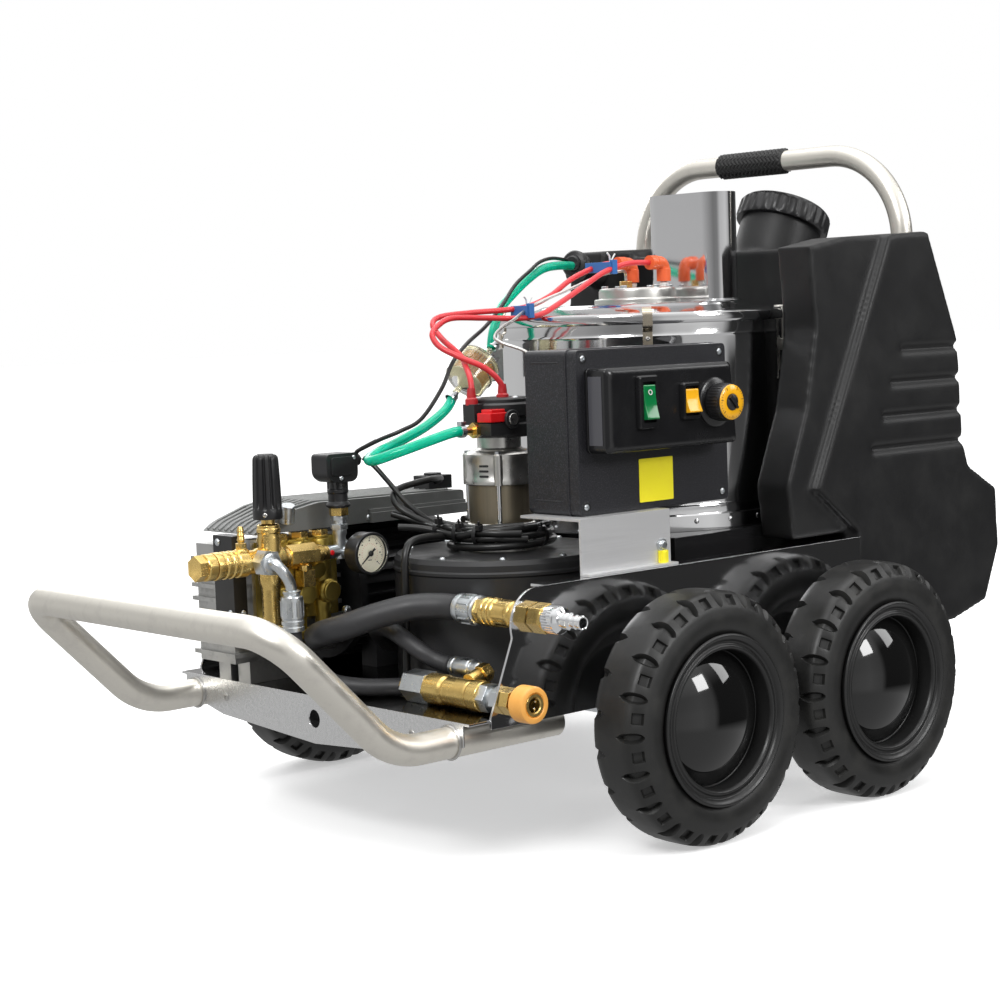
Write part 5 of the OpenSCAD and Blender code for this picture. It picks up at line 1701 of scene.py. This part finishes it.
def make_rocker(name, body, node, x, z, w, h, material):
    """A rocker with a dished face, tipped in at its top."""
    y = CONSOLE_Y
    side = [(y + 2, z - h / 2), (y - 12.4, z - h / 2 + 0.6), (y - 13, z - h / 2 + 2)]
    for k in range(1, 12):
        t = k / 12
        sag = 4 * t * (1 - t) * 1.6
        side.append((y - 13 + 6 * t + sag, z - h / 2 + 2 + (h - 4) * t))
    side += [(y - 7, z + h / 2 - 2), (y - 6.4, z + h / 2 - 0.6), (y + 2, z + h / 2)]
    rocker = Piece(name)
    rocker.loft(material, [[(px, a, b) for a, b in side] for px in (x - w / 2, x + w / 2)])
    rocker.done(body, [node], bevel=0.7, angle=40)


def make_switches():
    """Both rockers, the green one with its marks."""
    make_rocker("green_key", "green_switch", "green_rocker",
                -89, 492, 19, 40, GREEN)
    make_rocker("yellow_key", "yellow_switch", "yellow_rocker",
                -19, 490, 21, 28, YELLOW)
    marks = Piece("green_marks")
    marks.ring(WHITE, (-89, CONSOLE_Y - 7.9, 503), (0, -1, 0.16), (2.2, 3.1), (0, 0.35), 28)
    marks.prism(WHITE, (-89, CONSOLE_Y - 10.0, 481), (0, -1, 0.2),
                round_box(5.4, 1.0, 0.3), 0.4)
    marks.done("green_switch")


def make_thermostat():
    """The thermostat knob with its graduated yellow ring."""
    knob = Piece("dial_knob")
    x, z, y = 26, 486, CONSOLE_Y - 4
    knob.lathe(
        PLASTIC, (x, y, z), "-y",
        [(0, 0), (20.6, 0), (21.4, 1.4), (21.4, 17), (20.6, 20), (20.2, 22), (14.5, 22.6),
         (0, 22.6)], 84,
    )
    for c, s in spokes(36):
        knob.rod(PLASTIC, (x + 20.8 * c, y - 3, z + 20.8 * s), "-y", 15, 1.15, 10)
    knob.lathe(YELLOW, (x, y - 22.3, z), "-y",
               [(9.6, 0), (20.4, -0.4), (20.2, 0.3), (19.6, 0.8), (10.2, 1.1), (9.6, 0.6)],
               84, closed=True)
    for k in range(31):
        a = math.radians(-240 + 300 * k / 30)
        d = Vector((math.cos(a), 0, math.sin(a)))
        n = Vector((-math.sin(a), 0, math.cos(a))) * (0.42 if k % 5 == 0 else 0.24)
        o = Vector((x, y - 23.5, z))
        near = 15.6 if k % 5 == 0 else 17.2
        flat = [o + d * near - n, o + d * 19.3 - n, o + d * 19.3 + n, o + d * near + n]
        knob.shape(INK_AND_SHADE, flat, [(0, 1, 2, 3)])
    knob.lathe(PLASTIC, (x, y - 22, z), "-y",
               [(0, 0), (9.6, 0), (9.4, 1.8), (8.4, 2.6), (0, 2.9)], 60)
    a = math.radians(-50)
    d = Vector((math.cos(a), 0, math.sin(a)))
    n = Vector((-math.sin(a), 0, math.cos(a)))
    o = Vector((x, y - 24.2, z))
    bar = [o + d * 9 - n * 1.3, o + d * 9 + n * 1.3, o - d * 9 + n * 2.6,
           o - d * 9 - n * 2.6]
    lift = Vector((0, -3.2, 0))
    knob.loft(PLASTIC, [bar, [p + lift for p in bar]])
    knob.done("thermostat", ["thermostat_knob"], angle=40)


def make_bracket():
    """The steel bracket below the box, with an earth tag and a post."""

    def sleeve_finish(centre):
        """Yellow for the small sleeve, which is part of the bracket's node."""
        inside = -58 < centre.x < -44 and 303.9 < centre.z < 320.1 and centre.y < -257
        return SAFETY_YELLOW if inside else None

    dressed("box_bracket", BRACKET, 0.4, sleeve_finish)
    trim = Piece("bracket_trim")
    trim.lathe(ZINC, (-51, -258.4, 326), "-y",
               [(0, 0), (8, 0), (8, 1), (5, 1.4), (5, 4), (4, 5), (0, 5)], 32)
    trim.prism(ZINC, (-51, -260, 312), "z", round_box(7, 3, 1), 13)
    trim.rod(SAFETY_YELLOW, (-51, -260.5, 301), "z", 18, 4.4, 24)
    trim.rod(PLASTIC, (-51, -261, 294), "z", 9, 2.4, 16)
    trim.rod(PLASTIC, (-27.5, -215, 303.4), "z", 58, 4.5, 24)
    trim.done(bevel=0.3)


make_box()
make_console()
make_switches()
make_thermostat()
make_bracket()

# ---------------------------------------------------------------- water fittings


def make_inlet():
    """The inlet coupling: a ferrule, a row of brass nuts and a chromed nipple."""
    x, z = -266, 270
    o = (x, 0, z)
    hose_end = Piece("inlet_ferrule")
    hose_end.lathe(
        ZINC, o, "-y",
        [(12, 152), (16.4, 152), (17, 153), (17, 158), (16.4, 159), (16.4, 161), (17, 162),
         (17, 178), (16.4, 179), (16.4, 181), (17, 182), (17, 185), (15.4, 186.5), (12, 187)],
        60, closed=True,
    )
    for c, s in spokes(12):
        px, pz = x + 16.7 * c, z + 16.7 * s
        hose_end.block(ZINC, (px - 2, -178, pz - 0.7), (px + 2, -163, pz + 0.7))
    hose_end.done(bevel=0.3)
    brass = Piece("inlet_brass")
    for y, length, flats, turn in ((-186, 11, 26.5, 0), (-216, 22, 27, 10),
                                   (-250, 21, 25, 0), (-275.5, 19, 29.5, 15)):
        brass.hexagon(BRASS, (x, y, z), "-y", length, flats, turn)
    brass.lathe(
        BRASS, o, "-y",
        [(0, 196), (15.5, 196), (16.2, 197), (16.2, 201), (15.2, 202), (15.2, 203.4),
         (16.2, 204.2), (16.2, 209), (15.2, 210), (15.2, 211.4), (16.2, 212.4), (16.2, 216),
         (14.6, 218), (14.2, 236), (15.4, 238), (15.4, 243), (14.2, 244), (14.2, 246),
         (15.4, 247), (15.4, 251), (0, 251)], 60,
    )
    brass.ring(BRASS, o, "-y", (0, 13), (270, 275), 40)
    brass.done(replaces=["inlet_coupler"], bevel=0.6)
    nipple = Piece("inlet_nipple")
    nipple.lathe(
        CHROME, o, "-y",
        [(5.5, 326), (5.5, 347.6), (6.6, 348), (7.8, 347.2), (8, 346), (8, 343.6), (6.6, 342.6),
         (6.6, 340), (8, 339), (8, 336.4), (6.8, 335.4), (6.8, 332), (9.6, 330), (10, 328.6),
         (10, 323), (8.6, 321.4), (8.6, 317), (13.6, 315), (15, 313.6), (15, 297), (13.8, 294.5),
         (5.5, 294.5)], 60, closed=True,
    )
    for c, s in spokes(30):
        nipple.rod(CHROME, (x + 14.7 * c, -298, z + 14.7 * s), "-y", 13, 0.8, 8)
    # A black disc part way down the bore: painted shade for the dark hollow.
    nipple.ring(INK_AND_SHADE, o, "-y", (0, 5.6), (326.2, 326), 32)
    nipple.done(replaces=["inlet_coupler"])


def make_outlet():
    """The outlet coupling with its orange ring and the hose's end beside it."""
    x, z = -312, 186
    o = (x, 0, z)
    brass = Piece("outlet_brass")
    brass.hexagon(BRASS, (x, -107.4, z), "-y", 9, 22)
    brass.lathe(
        BRASS, o, "-y",
        [(0, 151), (16.4, 151), (17.5, 152.4), (17.5, 176), (16.6, 178), (15.2, 180.4),
         (15.2, 182), (16.4, 183.4), (16.4, 218), (15.2, 220), (15.2, 222), (17.5, 225),
         (17.5, 240), (16.4, 241.4), (0, 241.4)], 60,
    )
    brass.ring(BRASS, o, "-y", (0, 9), (270, 290), 32)
    brass.hexagon(BRASS, (x, -275, z), "-y", 14, 26, 12)
    brass.hexagon(BRASS, (x, -291, z), "-y", 7, 24)
    brass.lathe(BRASS, (x + 8, -206, 196), (1, 0, 0.3),
                [(0, 0), (11, 0), (11, 14), (9.5, 16), (9.5, 26), (0, 26)], 32)
    brass.hexagon(BRASS, (-288, -206, 203), (1, 0, 0.3), 12, 19)
    brass.done(replaces=["outlet_valve"], bevel=0.6)
    zinc = Piece("outlet_zinc")
    zinc.hexagon(ZINC, (x, -115, z), "-y", 36.6, 33, 8)
    zinc.hexagon(ZINC, (x, -240, z), "-y", 13, 29)
    zinc.ring(ZINC, o, "-y", (0, 12.6), (252, 262), 40)
    zinc.hexagon(ZINC, (x, -260, z), "-y", 12, 27, 20)
    zinc.lathe(
        ZINC, (-278, 0, 206), "-y",
        [(0, 150.2), (10.6, 150.2), (11.2, 151), (11.2, 156), (10.4, 157), (10.4, 159),
         (11.2, 160), (11.2, 180), (10.2, 182), (8.4, 183), (8.4, 190), (9.6, 191),
         (9.6, 196), (8, 198), (7, 208), (0, 208)], 44,
    )
    zinc.done(bevel=0.5)
    ring = Piece("outlet_ring")
    ring.lathe(
        ORANGE_RING, o, "-y",
        [(14, 297.5), (19, 297.5), (20, 299), (20, 316), (19.3, 318.2), (17.6, 319),
         (14, 319), (13, 317.6), (13, 299)], 72, closed=True,
    )
    ring.done()
    bore = Piece("outlet_bore")
    bore.lathe(
        BRASS, o, "-y",
        [(8, 302), (8, 317.4), (9, 318.6), (12.2, 318.6), (13, 317.4), (13, 300), (0, 300),
         (0, 302)], 60, closed=True,
    )
    # A black disc on the bore's floor: painted shade for the dark recess.
    bore.ring(INK_AND_SHADE, o, "-y", (0, 8), (302.3, 302.1), 32)
    ball = [(1.5 * s, 1.5 - 1.5 * c) for c, s in spokes(12)[:7]]
    for c, s in spokes(6, math.degrees(0.3)):
        bore.lathe(CHROME, (x + 7.8 * c, -309, z + 7.8 * s), "-y", ball, 12)
    bore.done()


make_inlet()
make_outlet()

# ---------------------------------------------------------------- filler cap, bung


def make_filler_cap():
    """The screw cap on the tilted neck, with wide ribs round its skirt."""
    tilt = math.radians(25)
    axis = Vector((math.sin(tilt), 0, math.cos(tilt)))
    ribs, steps = 28, 8
    rows = [(36.2, 62.6, 0), (37, 63.4, 0), (40, 63.6, 0.2), (42, 63.2, 1), (60, 62.6, 1),
            (62.6, 62.0, 0.6), (64.6, 61.2, 0), (66.8, 58.8, 0), (67.8, 55, 0), (67.9, 50, 0),
            (66.6, 48, 0), (66.4, 20, 0)]
    rings = []
    for h, r, deep in rows:
        radii = [r + (1.6 * deep if k % steps < steps / 2 else 0) for k in range(ribs * steps)]
        rings.append([(q * c, q * s, h) for q, (c, s) in zip(radii, spokes(ribs * steps))])
    cap = Piece("ribbed_cap")
    cap.loft(PLASTIC, rings, aimed((460, 0, 668), axis))
    cap.done("filler_cap", ["water_cap"], angle=40)


make_filler_cap()

# ---------------------------------------------------------------- clips and ties


def make_lead_clips():
    """Two blue clips that hold the ignition leads and the fuel pipe together."""
    clips = Piece("lead_clips")
    for at, wide in (((-22, -4, 599), 30), ((122, 1, 651), 46)):
        clips.block(CLIP_BLUE, (at[0] - 6, at[1] - wide / 2, at[2] - 6.5),
                    (at[0] + 6, at[1] + wide / 2, at[2] + 6.5))
        clips.block(CLIP_BLUE, (at[0] - 4, at[1] - wide / 2 - 3, at[2] - 9),
                    (at[0] + 4, at[1] - wide / 2 + 3, at[2] + 9))
        tip = Vector(at) + Vector((0, -wide / 2 + 6, 5))
        clips.sweep(WHITE, [tip, tip + Vector((-3, -2, 9)), tip + Vector((-8, -3, 13))], 1.3, 8)
        clips.sweep(WHITE, [tip, tip + Vector((4, -2, 8)), tip + Vector((6, -3, 12))], 1.1, 8)
    clips.done(bevel=0.8)


def make_loom_knot():
    """The tied bundle of cables by the burner, and a cable box on the motor cover."""
    knot = Piece("loom_knot")
    runs = [
        [(-236, 2, 366), (-222, -22, 358), (-206, -48, 349), (-196, -72, 343),
         (-190, -96, 339), (-176, -122, 337), (-152, -142, 336)],
        [(-244, -18, 352), (-226, -34, 350), (-209, -54, 345), (-201, -78, 341),
         (-194, -100, 345), (-182, -122, 344), (-160, -140, 343)],
        [(-214, 18, 372), (-212, -10, 362), (-200, -44, 354), (-190, -68, 350),
         (-184, -94, 348), (-172, -114, 350), (-150, -134, 351)],
        [(-190, 30, 372), (-200, 0, 364), (-202, -36, 346), (-204, -62, 350),
         (-186, -84, 336), (-170, -104, 333)],
    ]
    for run in runs:
        knot.sweep(CABLE, catmull(run, 6), 4.2, 14)
    for at, axis in (
        ((-207, -46, 350), (0.5, -0.85, -0.2)), ((-198, -72, 345), (0.35, -0.92, -0.15)),
        ((-190, -98, 343), (0.35, -0.92, -0.1)), ((-132, -142, 339), (1, 0.0, 0.0)),
    ):
        knot.ring(PLASTIC, at, Vector(axis), (11.2, 12.5), (-2.3, 2.3), 28)
        head = Vector(at) + Vector((-6, -9, 8))
        knot.block(PLASTIC, head - Vector((3.5, 3, 3)), head + Vector((3.5, 3, 3)))
        knot.sweep(PLASTIC, [head, head + Vector((-3, -3, 8))], 1.4, 8)
    knot.sweep(CABLE, catmull([(-240, 21, 452), (-252, 38, 442), (-254, 43, 437),
                               (-247, 45, 430)], 6), 2.5, 12)
    knot.block(PLASTIC, (-106, 88, 380), (-68, 118, 397))
    knot.rod(PLASTIC, (-87, 103, 396), "z", 4, 11, 24)
    knot.done(bevel=0.3)


def make_bung():
    """The hose bung on top of the fuel tank."""
    bung = Piece("tank_bung")
    bung.lathe(
        PLASTIC, (276, 205, 662), (-0.92, -0.38, 0.1),
        [(0, -4), (15, -4), (17.5, -2), (19, 1), (19, 7), (17, 10), (12, 11), (11, 15),
         (9, 16.5), (0, 16.5)], 48,
    )
    bung.done()


make_lead_clips()
make_loom_knot()
make_bung()
